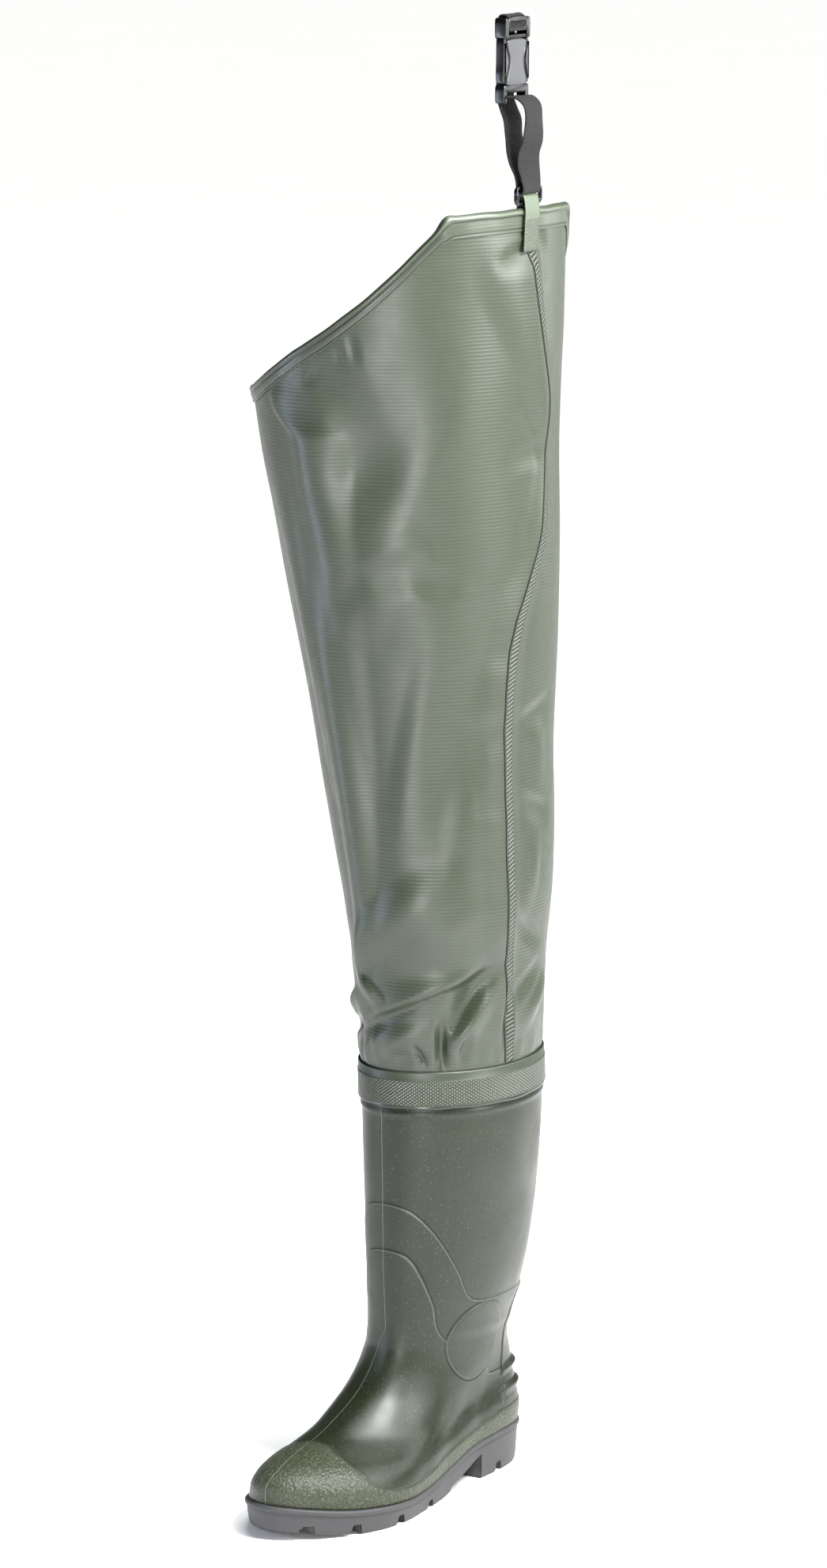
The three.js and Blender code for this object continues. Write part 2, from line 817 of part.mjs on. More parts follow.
// Section carried round the collar: pairs of (out, up) from the fabric's top edge
function buildCollarHem() {
  const section = [
    [CLEARANCE, -HEM_DROP],
    [CLEARANCE + 1, -HEM_DROP],
    [CLEARANCE + 1, -0.6],
    [BEAD - 0.4, CLEARANCE + 0.9],
    [BEAD - 0.4, CLEARANCE + 3.2],
    [0.2, CLEARANCE + 5.2],
    [-2.2, CLEARANCE + 4.4],
    [-2.6, CLEARANCE + 1.4],
    [-1.3, CLEARANCE],
    [CLEARANCE, CLEARANCE],
  ];
  const rings = section.map(([out, up]) => {
    const points = [];
    for (let i = 0; i < AROUND; i += 1) {
      const angle = (2 * Math.PI * i) / AROUND;
      const share = collarShare(angle) + up / (LEG_TOP - SHAFT_TOP);
      points.push(legPoint(angle, share, out));
    }
    return points;
  });
  return loft(rings, true);
}

function buildSeamTape() {
  const strip = (lift) => {
    const rings = [];
    const first = (BAND_ABOVE + 1) / (LEG_TOP - SHAFT_TOP);
    const last = 1 - (LOOP_DROP + 7) / (LEG_TOP - SHAFT_TOP);
    for (let i = 0; i <= 24; i += 1) {
      const share = mix(first, last, i / 24);
      const angle = radians(along(SEAM, "angle", share));
      const p = legPoint(angle, share, lift);
      const a = legPoint(angle + 0.02, share, lift);
      const b = legPoint(angle - 0.02, share, lift);
      const length = Math.hypot(a[0] - b[0], a[1] - b[1]);
      const tx = (a[0] - b[0]) / length;
      const ty = (a[1] - b[1]) / length;
      rings.push(
        [[-1, -1], [1, -1], [1, 1], [-1, 1]].map(([s, d]) => {
          const side = (s * SEAM_WIDTH) / 2;
          const deep = d * 12;
          return [p[0] + tx * side + ty * deep, p[1] + ty * side - tx * deep, p[2]];
        }),
      );
    }
    return loft(rings);
  };
  return legForm(CLEARANCE + 1.1)
    .subtract(legForm(CLEARANCE + 0.1))
    .intersect(strip(0));
}

// Where the strap's plane meets the collar
const seamTop = legPoint(radians(COLLAR_SEAM), collarShare(radians(COLLAR_SEAM)), 0);
const seamFoot = legPoint(
  radians(COLLAR_SEAM),
  collarShare(radians(COLLAR_SEAM)) - LOOP_DROP / (LEG_TOP - SHAFT_TOP),
  0,
);
const strapY = seamTop[1];
const strapX = seamTop[0] - FABRIC_WALL / 2;
const strapZ = seamTop[2];
const lowBarZ = strapZ + CLEARANCE + 5.4 + RING_BAR / 2 + 1.2;
const highBarZ = lowBarZ + RING_HEIGHT - RING_BAR;

function buildBeltLoop() {
  const outside = strapX + FABRIC_WALL / 2 + 1.3 + 2 * CLEARANCE + LOOP_THICKNESS / 2 + 0.4;
  const inside = strapX - FABRIC_WALL / 2 - 2 * CLEARANCE - LOOP_THICKNESS / 2 - 0.9;
  const turn = RING_BAR / 2 + CLEARANCE + LOOP_THICKNESS / 2 + 0.2;
  const lean = seamTop[0] - seamFoot[0];
  const clear = BEAD + LOOP_THICKNESS / 2 + 0.4;
  const path = [
    [outside - lean, strapZ - LOOP_DROP],
    [outside - lean * 0.4, strapZ - HEM_DROP],
    [outside + 0.2, strapZ - 3],
    [strapX + clear + 0.3, strapZ + 2.5],
    [strapX + turn, lowBarZ - 0.3],
    [strapX + turn * 0.72, lowBarZ + turn * 0.72],
    [strapX, lowBarZ + turn],
    [strapX - turn * 0.72, lowBarZ + turn * 0.72],
    [strapX - turn, lowBarZ - 0.3],
    [strapX - clear - 0.3, strapZ + 2.5],
    [inside - 0.6, strapZ - 3],
    [inside - lean * 0.4, strapZ - HEM_DROP],
    [inside - lean, strapZ - LOOP_DROP],
  ];
  return ribbon(path, strapY, LOOP_WIDTH, LOOP_THICKNESS, 2);
}

function buildRing() {
  const halfLong = (RING_LENGTH - RING_BAR) / 2;
  const halfHigh = (RING_HEIGHT - RING_BAR) / 2;
  const middleZ = (lowBarZ + highBarZ) / 2;
  const corner = RING_CORNER;
  const corners = [[1, -1], [1, 1], [-1, 1], [-1, -1]];
  const rings = [];
  corners.forEach(([sy, sz], quarter) => {
    for (let i = 0; i <= 4; i += 1) {
      const a = (Math.PI / 2) * (quarter - 1 + i / 4);
      const outY = Math.cos(a);
      const outZ = Math.sin(a);
      const cy = sy * (halfLong - corner) + corner * outY;
      const cz = sz * (halfHigh - corner) + corner * outZ;
      const ring = [];
      for (let k = 0; k < 8; k += 1) {
        const b = (2 * Math.PI * k) / 8;
        const reach = (RING_BAR / 2) * Math.cos(b);
        ring.push([
          strapX + (RING_BAR / 2) * Math.sin(b),
          strapY + cy + outY * reach,
          middleZ + cz + outZ * reach,
        ]);
      }
      rings.push(ring);
    }
  });
  return loft(rings, true);
}

// The buckle's back plane, its foot and its head
const buckleBack = strapX - STRAP_SWAY;
const buckleFront = buckleBack + BUCKLE_THICKNESS;
const buckleFoot = highBarZ + STRAP_RISE;
const buckleHead = buckleFoot + BUCKLE_LENGTH;

function buildStrap() {
  const turn = RING_BAR / 2 + CLEARANCE + WEBBING_THICKNESS / 2 + 0.2;
  const behind = buckleBack - WEBBING_THICKNESS / 2 - CLEARANCE;
  const z = highBarZ;
  const barFoot = 2.8 * WEBBING_THICKNESS;
  const placed = (columns) =>
    columns.out.map((out, k) => [
      strapX + out * STRAP_SWAY,
      z + columns.up[k] * STRAP_RISE,
      columns.twist[k],
    ]);
  const path = [
    [buckleBack + 0.42 * BUCKLE_THICKNESS, buckleFoot + barFoot],
    [buckleFront - 0.1 * BUCKLE_THICKNESS, buckleFoot + barFoot],
    ...placed(STRAP_FRONT),
    [strapX + turn, z + 1],
    [strapX + turn * 0.72, z - turn * 0.72],
    [strapX, z - turn],
    [strapX - turn * 0.72, z - turn * 0.72],
    [strapX - turn, z + 1],
    ...placed(STRAP_BEHIND),
    [behind, buckleFoot + 3],
    [behind, buckleFoot + 0.31 * BUCKLE_LENGTH],
    [behind, buckleHead - 12],
    [behind + 0.1, buckleHead - 3],
    [behind + 2.4, buckleHead + 1.2],
    [buckleBack + 5, buckleHead + 1.6],
    [buckleFront - 1.2, buckleHead],
    [buckleFront + 0.5, buckleHead - 4],
    [buckleFront + 0.4, buckleHead - 10],
  ];
  return ribbon(path, strapY, WEBBING_WIDTH, WEBBING_THICKNESS, 2);
}

// Shape in the buckle's own plane: pairs of (across, up from the foot)
function buckleShape(outline, back, front) {
  return prism(
    outline.map(([across, up]) => [strapY + across, buckleFoot + up]),
    buckleBack + back,
    buckleBack + front,
  );
}

const mirrored = (outline) => outline.map(([across, up]) => [-across, up]);

function buildSocket() {
  const inner = WEBBING_WIDTH / 2 + 0.6;
  const outer = BUCKLE_WIDTH / 2;
  const thick = BUCKLE_THICKNESS;
  const panel = [
    [-12.2, 48],
    [-11.4, 42],
    [-8.6, 36],
    [-8.2, 31],
    [-9.6, 25],
    [-12.2, 18],
    [-12.6, 13],
    [12.6, 13],
    [12.2, 18],
    [9.6, 25],
    [8.2, 31],
    [8.6, 36],
    [11.4, 42],
    [12.2, 48],
  ];
  const rail = [
    [inner, 1.5],
    [inner + 1.4, 0],
    [outer - 1, 0],
    [outer, 2],
    [outer, 12],
    [outer - 1.5, 14],
    [inner, 14],
  ];
  const bar = [
    [-outer + 1, 7.6],
    [outer - 1, 7.6],
    [outer - 1, 14],
    [-outer + 1, 14],
  ];
  return buckleShape(panel, 0, thick)
    .add(buckleShape(rail, 0.4, thick - 0.6))
    .add(buckleShape(mirrored(rail), 0.4, thick - 0.6))
    .add(buckleShape(bar, 1.4, thick - 0.4));
}

function buildTongue() {
  const inner = WEBBING_WIDTH / 2 + 0.6;
  const outer = BUCKLE_WIDTH / 2;
  const thick = BUCKLE_THICKNESS;
  const head = BUCKLE_LENGTH;
  const arm = [
    [outer, 50],
    [outer + 0.2, 30],
    [outer + 0.7, 22],
    [outer + 0.3, 16],
    [outer - 1.2, 14.3],
    [12.9, 14.3],
    [12.9, 18.4],
    [10, 25.3],
    [8.6, 31],
    [9.2, 35.6],
    [12, 41.8],
    [12.9, 48],
    [12.9, 50],
  ];
  const rail = [
    [inner, 48.3],
    [outer, 48.3],
    [outer, head - 1.5],
    [outer - 1.5, head],
    [inner, head],
  ];
  const neck = [
    [-outer + 0.5, 48.3],
    [outer - 0.5, 48.3],
    [outer - 0.5, 51.5],
    [-outer + 0.5, 51.5],
  ];
  const bar = [
    [-inner - 1, 56],
    [inner + 1, 56],
    [inner + 1, head - 2],
    [-inner - 1, head - 2],
  ];
  return buckleShape(rail, 0, thick + 1)
    .add(buckleShape(mirrored(rail), 0, thick + 1))
    .add(buckleShape(neck, 0, thick - 0.2))
    .add(buckleShape(bar, 1, thick - 2))
    .add(buckleShape(arm, 1.2, thick - 0.8))
    .add(buckleShape(mirrored(arm), 1.2, thick - 0.8));
}

const MATERIALS = {
  boot_rubber: { color: "#4a4e44", roughness: 0.42, metalness: 0 },
  sole_rubber: { color: "#4b4b4d", roughness: 0.7, metalness: 0 },
  insole_felt: { color: "#6b6a62", roughness: 0.95, metalness: 0 },
  coated_fabric: { color: "#5f6c5b", roughness: 0.55, metalness: 0 },
  band_rubber: { color: "#4c5548", roughness: 0.5, metalness: 0 },
  ring_metal: { color: "#6f7074", roughness: 0.28, metalness: 1 },
  webbing: { color: "#2b2c2e", roughness: 0.85, metalness: 0 },
  buckle_black: { color: "#17181a", roughness: 0.25, metalness: 0 },
  buckle_grey: { color: "#8f9092", roughness: 0.45, metalness: 0 },
};

function mesh(name, made, slot) {
  const found = made.getMesh();
  const geometry = new THREE.BufferGeometry();
  const positions = new Float32Array(found.numVert * 3);
  for (let i = 0; i < found.numVert; i += 1) {
    for (let k = 0; k < 3; k += 1) {
      positions[3 * i + k] = found.vertProperties[i * found.numProp + k];
    }
  }
  geometry.setAttribute("position", new THREE.BufferAttribute(positions, 3));
  geometry.setIndex(new THREE.BufferAttribute(new Uint32Array(found.triVerts), 1));
  geometry.computeVertexNormals();
  const shown = new THREE.Mesh(geometry, new THREE.MeshStandardMaterial(MATERIALS[slot]));
  shown.name = name;
  return shown;
}

const wader = new THREE.Group();
wader.name = "hip_wader";
wader.add(
  mesh("outsole", buildOutsole(), "sole_rubber"),
  mesh("boot", buildBoot(), "boot_rubber"),
  mesh("insole", buildInsole(), "insole_felt"),
  mesh("leg", buildLeg(), "coated_fabric"),
  mesh("weld_band", buildWeldBand(), "band_rubber"),
  mesh("collar_hem", buildCollarHem(), "coated_fabric"),
  mesh("seam_tape", buildSeamTape(), "coated_fabric"),
  mesh("belt_loop", buildBeltLoop(), "coated_fabric"),
  mesh("ring", buildRing(), "ring_metal"),
  mesh("strap", buildStrap(), "webbing"),
  mesh("buckle_socket", buildSocket(), "buckle_grey"),
  mesh("buckle_tongue", buildTongue(), "buckle_black"),
);

export default wader;
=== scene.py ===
# Hip wader for the left leg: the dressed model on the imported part. Tables and sizes are
# in millimetres in the part's frame (+Z up, toe towards -Y, outer side towards +X) and
# meshes are made in metres.
import math

import bpy
import numpy as np
from mathutils import Matrix, Vector


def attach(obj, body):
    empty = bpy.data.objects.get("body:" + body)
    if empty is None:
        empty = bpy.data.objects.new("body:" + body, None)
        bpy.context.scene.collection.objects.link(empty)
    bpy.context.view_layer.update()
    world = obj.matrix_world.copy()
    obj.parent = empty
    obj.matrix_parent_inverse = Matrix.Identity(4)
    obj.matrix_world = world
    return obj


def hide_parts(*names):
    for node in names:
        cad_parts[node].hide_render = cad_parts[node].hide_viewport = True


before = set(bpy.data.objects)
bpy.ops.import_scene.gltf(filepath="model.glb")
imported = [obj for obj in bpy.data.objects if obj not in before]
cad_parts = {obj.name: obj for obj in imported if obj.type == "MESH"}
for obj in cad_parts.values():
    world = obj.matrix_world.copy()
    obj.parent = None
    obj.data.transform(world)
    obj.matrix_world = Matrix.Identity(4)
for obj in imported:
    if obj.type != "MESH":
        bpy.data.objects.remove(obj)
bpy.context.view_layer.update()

# Sizes of the whole
SOLE_LENGTH = 305.0
BALL_LATERAL = 57.5
BALL_MEDIAL = 52.5
HEEL_BACK = 40.0
HEEL_HEIGHT = 34.0
TOE_HEIGHT = 28.5
INSTEP_HEIGHT = 120.0
SHAFT_TOP = 333.0
LEG_TOP = 1016.0
UPPER_WALL = 2.4
FABRIC_WALL = 1.0
CLEARANCE = 0.3
INSOLE_THICKNESS = 4.0

# Raised panels of the moulded upper
SHIN_STEP = 0.6
VAMP_STEP = 1.2
FOXING_STEP = 2.1
COUNTER_STEP = 1.3
DISC_STEP = 1.5


def table(names, *rows):
    """Columns of a table by name; a share column counts the rows where there is none."""
    columns = {name: np.array([row[k] for row in rows], float) for k, name in enumerate(names)}
    columns.setdefault("share", np.arange(len(rows), dtype=float))
    return columns


# Sole outline: share of the length, then half widths as multiples of the ball widths
OUTLINE = table(
    ["share", "lateral", "medial"],
    (0.0, 1.18, 1.22),
    (0.05, 1.12, 1.16),
    (0.12, 0.98, 1.02),
    (0.2, 0.86, 0.88),
    (0.3, 0.78, 0.76),
    (0.42, 0.8, 0.74),
    (0.55, 0.92, 0.86),
    (0.66, 1.05, 1.0),
    (0.76, 1.14, 1.12),
    (0.86, 1.17, 1.2),
    (0.94, 1.13, 1.24),
    (1.0, 1.05, 1.22),
)
TOE_BEND = 9.0
TOE_BEND_FROM = 0.62

# Height of the sole's lip, of its underside and of its arch, as shares
LIP = table(
    ["share", "height"],
    (0.0, 1.0),
    (0.12, 1.015),
    (0.3, 0.93),
    (0.45, 0.66),
    (0.62, 0.515),
    (0.8, 0.59),
    (1.0, TOE_HEIGHT / HEEL_HEIGHT),
)
SPRING = table(["share", "height"], (0.0, 0.0), (0.72, 0.0), (0.85, 0.065), (1.0, 0.3))
ARCH = table(
    ["share", "height", "skewed"],
    (0.27, 0.0, 1),
    (0.276, 0.6, 1),
    (0.325, 0.445, 0),
    (0.36, 0.35, 0),
    (0.415, 0.205, 0),
    (0.422, 0.1, 0),
    (0.4985, 0.0, 0),
)
ARCH_SKEW = 0.032

# Channels between the lugs: where each one leaves the outer and the inner side
CHANNELS = table(
    ["lateral", "medial", "depth"],
    (0.06, 0.067, 7),
    (0.171, 0.197, 8),
    (0.527, 0.552, 7),
    (0.688, 0.672, 8),
    (0.833, 0.801, 8),
    (0.933, 0.93, 7),
)
CHANNEL_TOP = 6.0
CHANNEL_FOOT = 9.5

# Upper: one row per ring from the sole lip to the shaft's top
UPPER = table(
    ["front", "frontRise", "back", "backRise", "lateral", "medial", "round"],
    (0.98, 0.0, 0.013, 0.0, 0.925, 0.92, 0.0),
    (0.98, 0.104, 0.0066, 0.128, 0.94, 0.87, 0.0),
    (0.959, 0.197, 0.005, 0.244, 0.905, 0.83, 0.05),
    (0.913, 0.257, 0.008, 0.349, 0.83, 0.815, 0.12),
    (0.843, 0.295, 0.01, 0.43, 0.76, 0.84, 0.22),
    (0.742, 0.366, 0.013, 0.512, 0.69, 0.87, 0.38),
    (0.66, 0.497, 0.016, 0.605, 0.64, 0.905, 0.58),
    (0.586, 0.656, 0.021, 0.698, 0.61, 0.935, 0.8),
    (0.535, 0.831, 0.03, 0.791, 0.6, 0.955, 0.95),
    (0.511, 1.0, 0.033, 0.907, 0.615, 0.935, 1.0),
    (0.5066, 1.085, 0.023, 1.028, 0.69, 0.925, 1.0),
    (0.5115, 1.197, 0.0, 1.141, 0.82, 0.94, 1.0),
    (0.518, 1.357, -0.0246, 1.319, 0.945, 0.975, 1.0),
    (0.523, 1.587, -0.0377, 1.563, 1.07, 1.01, 1.0),
    (0.528, 1.845, -0.0393, 1.845, 1.17, 1.035, 1.0),
    (0.5295, 2.0, -0.0344, 2.0, 1.185, 1.05, 1.0),
)
UPPER_TOP = 15.0

# Side outlines of the raised panels: share of the length, then rise
SHIN_EDGE = (
    (1.2, 1.568),
    (0.528, 1.568),
    (0.5, 1.532),
    (0.456, 1.441),
    (0.39, 1.282),
    (0.362, 1.208),
    (0.33, 1.166),
    (0.269, 1.15),
    (-0.2, 1.136),
    (-0.2, -0.6),
    (1.2, -0.6),
)
VAMP_EDGE = (
    (1.2, 1.395),
    (0.523, 1.39),
    (0.495, 1.345),
    (0.446, 1.174),
    (0.4, 1.028),
    (0.223, 0.663),
    (0.2, 0.57),
    (0.128, 0.535),
    (0.138, 0.349),
    (0.167, 0.209),
    (0.167, -0.6),
    (1.2, -0.6),
)
FOXING_EDGE = (
    (1.2, 0.9),
    (0.755, 0.9),
    (0.757, 0.372),
    (0.78, 0.25),
    (0.784, 0.14),
    (0.77, 0.035),
    (0.728, -0.035),
    (0.649, -0.058),
    (0.544, -0.035),
    (0.361, 0.093),
    (0.164, 0.198),
    (-0.2, 0.267),
    (-0.2, -0.6),
    (1.2, -0.6),
)
COUNTER_EDGE = (
    (0.079, 1.141),
    (0.12, 1.0),
    (0.133, 0.6),
    (0.144, 0.349),
    (0.173, 0.209),
    (0.173, -0.6),
    (-0.2, -0.6),
    (-0.2, 1.136),
)
DISC_SHARE = 0.285
DISC_RISE = 0.977
DISC_RADIUS = 33.0

# Ribs across the back of the heel, and the rib round the shaft under the band
KICK_RIB_HEIGHT = 6.4
KICK_RIBS = table(
    ["ring", "height", "half", "reach"],
    (5.3, 1.0, 0.75, 50),
    (3.1, 0.97, 0.7, 50),
)
SHAFT_RIB_RING = 14.37
SHAFT_RIB_HALF = 0.09
SHAFT_RIB_HEIGHT = 1.3

# Leg: one row per section from the shaft's top (0) to the hip (1)
LEG = table(
    ["share", "side", "ahead", "width", "depth"],
    (0.0, 0.0, 0.0, 1.0, 1.0),
    (0.025, 0.0, 0.016, 1.008, 1.0),
    (0.068, 0.024, 0.065, 1.055, 1.012),
    (0.127, 0.048, 0.097, 1.075, 1.035),
    (0.2, 0.04, 0.12, 1.17, 1.095),
    (0.287, -0.032, 0.13, 1.275, 1.16),
    (0.389, -0.145, 0.145, 1.37, 1.215),
    (0.505, -0.2, 0.21, 1.525, 1.28),
    (0.622, -0.275, 0.29, 1.67, 1.35),
    (0.738, -0.37, 0.38, 1.8, 1.425),
    (0.854, -0.41, 0.42, 1.9, 1.5),
    (1.0, -0.44, 0.45, 1.97, 1.555),
)
COLLAR = table(
    ["share", "height"],
    (0, 1.0),
    (30, 0.996),
    (36, 0.98),
    (48, 0.941),
    (62, 0.9),
    (78, 0.862),
    (95, 0.831),
    (125, 0.795),
    (180, 0.777),
)
COLLAR_SEAM = 93.0

# Main folds of the leg, as in the part: angle, height share, slope, half length, half
# width and how far out
FOLDS = table(
    ["angle", "height", "slope", "long", "broad", "out"],
    (192, 0.5, 97, 190, 34, 6),
    (153, 0.74, 60, 110, 45, -5),
    (150, 0.6, 130, 110, 50, 4),
    (165, 0.12, 24, 150, 26, -6),
    (175, 0.19, 28, 130, 26, 5),
    (70, 0.74, 80, 90, 35, -5),
    (118, 0.36, 82, 130, 40, 4),
    (300, 0.45, 95, 200, 55, 5),
    (335, 0.3, 60, 140, 45, -5),
    (20, 0.55, 100, 180, 50, -4),
)
FOLD_GIRTH = 115.0

# Where the outer seam runs, by height
SEAM = table(
    ["share", "angle"],
    (0.0, 96),
    (0.1, 99),
    (0.2, 104),
    (0.45, 104),
    (0.535, 99),
    (0.58, 92),
    (0.65, 81),
    (0.72, 77),
    (0.79, 81),
    (0.86, 87),
    (0.93, 91),
    (1.0, COLLAR_SEAM),
)
SEAM_WIDTH = 11.0
BAND_BELOW = 14.0
BAND_ABOVE = 15.0
BAND_THICKNESS = 2.1
BAND_RIM = 7.3
HEM_DROP = 12.0
BEAD = 2.6

# Belt loop, ring, strap and buckle
LOOP_WIDTH = 18.0
LOOP_THICKNESS = 1.4
LOOP_DROP = 28.0
RING_BAR = 3.4
RING_LENGTH = 34.0
RING_HEIGHT = 15.5
RING_CORNER = 3.6
WEBBING_WIDTH = 22.0
WEBBING_THICKNESS = 1.5
STRAP_RISE = 62.5
STRAP_SWAY = 20.2
BUCKLE_WIDTH = 32.0
BUCKLE_LENGTH = 64.0
BUCKLE_THICKNESS = 9.6


def mix(a, b, t):
    """a where t is 0, b where t is 1, and straight between."""
    return a + (b - a) * t


def ramp(value, low, high):
    """0 below low, 1 above high, and 3t^2 - 2t^3 between."""
    t = np.clip((value - low) / (high - low), 0.0, 1.0)
    return t * t * (3.0 - 2.0 * t)


def along(columns, name, at):
    """One column of a table at the shares given, by a cubic that never overshoots:
    each tangent is the weighted harmonic mean of the slopes on both sides, or 0 where
    they differ in sign."""
    xs = columns["share"]
    ys = columns[name]
    at = np.clip(np.asarray(at, float), xs[0], xs[-1])
    step = np.diff(xs)
    slope = np.diff(ys) / step
    before = slope[:-1]
    after = slope[1:]
    same = before * after > 0
    safe_before = np.where(same, before, 1.0)
    safe_after = np.where(same, after, 1.0)
    weights = (2 * step[1:] + step[:-1]) / safe_before
    weights = weights + (step[1:] + 2 * step[:-1]) / safe_after
    middle = np.where(same, 3 * (step[:-1] + step[1:]) / weights, 0.0)
    tangent = np.concatenate([slope[:1], middle, slope[-1:]])
    i = np.clip(np.searchsorted(xs, at, side="right") - 1, 0, len(xs) - 2)
    t = (at - xs[i]) / step[i]
    u = 1.0 - t
    start = ys[i] * (1 + 2 * t) * u * u + tangent[i] * step[i] * t * u * u
    end = ys[i + 1] * t * t * (3 - 2 * t) - tangent[i + 1] * step[i] * t * t * u
    return start + end


def foot_y(share):
    """Place along the foot of a share of the sole's length."""
    return HEEL_BACK - share * SOLE_LENGTH


def half_widths(share):
    """Outer and inner half width of the sole at a share of its length."""
    lateral = BALL_LATERAL * along(OUTLINE, "lateral", share)
    medial = BALL_MEDIAL * along(OUTLINE, "medial", share)
    return lateral, medial


def middle_line(share):
    """The sole's middle bends inwards from the ball to the toe."""
    return -TOE_BEND * ramp(share, TOE_BEND_FROM, 1.0)


def lip_height(share):
    """Height of the sole's lip."""
    return HEEL_HEIGHT * along(LIP, "height", share)


def rise_height(rise, lip=HEEL_HEIGHT):
    """0 is the lip, 1 the instep and 2 the shaft's top."""
    low = lip + rise * (INSTEP_HEIGHT - lip)
    high = INSTEP_HEIGHT + (rise - 1) * (SHAFT_TOP - INSTEP_HEIGHT)
    return np.where(rise <= 1, low, high)


def outline_place(angle):
    """Point of the sole's outline: the share runs as (1 - cos) / 2 from heel to toe and
    the half width is multiplied by the sine."""
    share = (1 - np.cos(angle)) / 2
    lateral, medial = half_widths(share)
    sine = np.sin(angle)
    x = middle_line(share) + np.where(sine >= 0, lateral, medial) * sine
    return x, foot_y(share)


def outline_point(angle, inset):
    """The outline moved inwards, square to itself."""
    x, y = outline_place(angle)
    x0, y0 = outline_place(angle - 0.01)
    x1, y1 = outline_place(angle + 0.01)
    length = np.hypot(x1 - x0, y1 - y0)
    return x + (y1 - y0) / length * inset, y - (x1 - x0) / length * inset


def upper_point(angle, ring):
    """Plain surface of the upper. Front and back of a ring stand on the foot's middle
    line; the height runs straight between them, less the sag of the sole's lip."""
    share = (1 - np.cos(angle)) / 2
    lateral, medial = half_widths(share)
    roundness = along(UPPER, "round", ring)
    sine = np.sin(angle)
    outer = along(UPPER, "lateral", ring) * mix(lateral, BALL_LATERAL, roundness)
    inner = along(UPPER, "medial", ring) * mix(medial, BALL_MEDIAL, roundness)
    x = (1 - roundness) * middle_line(share) + np.where(sine >= 0, outer, inner) * sine
    back = along(UPPER, "back", ring)
    front = along(UPPER, "front", ring)
    y = foot_y(mix(back, front, share))
    front_z = rise_height(along(UPPER, "frontRise", ring), TOE_HEIGHT)
    back_z = rise_height(along(UPPER, "backRise", ring), HEEL_HEIGHT)
    sag = lip_height(share) - mix(HEEL_HEIGHT, TOE_HEIGHT, share)
    z = mix(back_z, front_z, share) + (1 - roundness) * sag
    return np.stack([x, y, z], -1)


def unit(vectors):
    """Vectors of length 1."""
    return vectors / np.maximum(np.linalg.norm(vectors, axis=-1, keepdims=True), 1e-12)


def normal_of(surface, a, b, da, db):
    """Outward normal from the differences of the surface along both parameters."""
    first = surface(a + da, b) - surface(a - da, b)
    second = surface(a, b + db) - surface(a, b - db)
    return unit(np.cross(second, first))


def upper_normal(angle, ring):
    """Normal of the upper, laid level at its lowest and its highest ring."""
    n = normal_of(upper_point, angle, np.clip(ring, 0.05, UPPER_TOP - 0.05), 0.01, 0.05)
    level = np.clip(1 - ring, 0, 1)
    upright = np.clip(ring - (UPPER_TOP - 1), 0, 1)
    n[..., 2] *= 1 - np.maximum(level, upright)
    return unit(n)


def leg_height(share):
    """Height on the leg of a share of its length."""
    return SHAFT_TOP + CLEARANCE + share * (LEG_TOP - SHAFT_TOP - CLEARANCE)


def plain_leg(angle, share):
    """The shaft's top section, moved sideways and ahead and widened by the leg table."""
    top = np.full(np.shape(angle), UPPER_TOP)
    base = upper_point(np.asarray(angle, float), top)
    ends = upper_point(np.array([math.pi, 0.0, math.pi / 2, -math.pi / 2]), np.full(4, UPPER_TOP))
    middle_y = (ends[0, 1] + ends[1, 1]) / 2
    middle_x = (ends[2, 0] + ends[3, 0]) / 2
    half = (BALL_LATERAL * 1.185 + BALL_MEDIAL * 1.05) / 2
    x = middle_x + half * along(LEG, "side", share)
    x = x + (base[..., 0] - middle_x) * along(LEG, "width", share)
    y = middle_y - half * along(LEG, "ahead", share)
    y = y + (base[..., 1] - middle_y) * along(LEG, "depth", share)
    return np.stack(np.broadcast_arrays(x, y, leg_height(share)), -1)


def turned(angle, centre):
    """Angle from a centre, between half a turn either way."""
    turn = angle - np.radians(centre)
    return np.arctan2(np.sin(turn), np.cos(turn))


def fold_lift(angle, share, folds):
    """Sum of soft bells: each is (1 - u^2)^2 (1 - v^2)^2 in its own slanted frame, u
    along the fold and v across it, times how far it goes out."""
    lift = np.zeros(np.broadcast(angle, share).shape)
    for k in range(len(folds["angle"])):
        across = -turned(angle, folds["angle"][k]) * FOLD_GIRTH
        up = (share - folds["height"][k]) * (LEG_TOP - SHAFT_TOP)
        slope = math.radians(folds["slope"][k])
        u = (across * math.cos(slope) + up * math.sin(slope)) / folds["long"][k]
        v = (up * math.cos(slope) - across * math.sin(slope)) / folds["broad"][k]
        bell = np.clip(1 - u * u, 0, 1) * np.clip(1 - v * v, 0, 1)
        lift = lift + folds["out"][k] * bell * bell
    return lift * np.clip(share / 0.05, 0, 1)


def leg_normal(angle, share):
    """Level normal of the plain leg."""
    n = normal_of(plain_leg, angle, np.clip(share, 0.01, 1.02), 0.01, 0.01)
    n[..., 2] = 0
    return unit(n)


def leg_point(angle, share, lift, folds=FOLDS):
    """Plain leg, moved level along its normal by its folds and a lift."""
    out = lift + fold_lift(angle, share, folds)
    return plain_leg(angle, share) + leg_normal(angle, share) * out[..., None]


def collar_share(angle):
    """Height share of the collar's edge, alike on both sides of the outer seam."""
    turn = np.degrees(np.abs(turned(angle, COLLAR_SEAM)))
    return along(COLLAR, "height", turn)


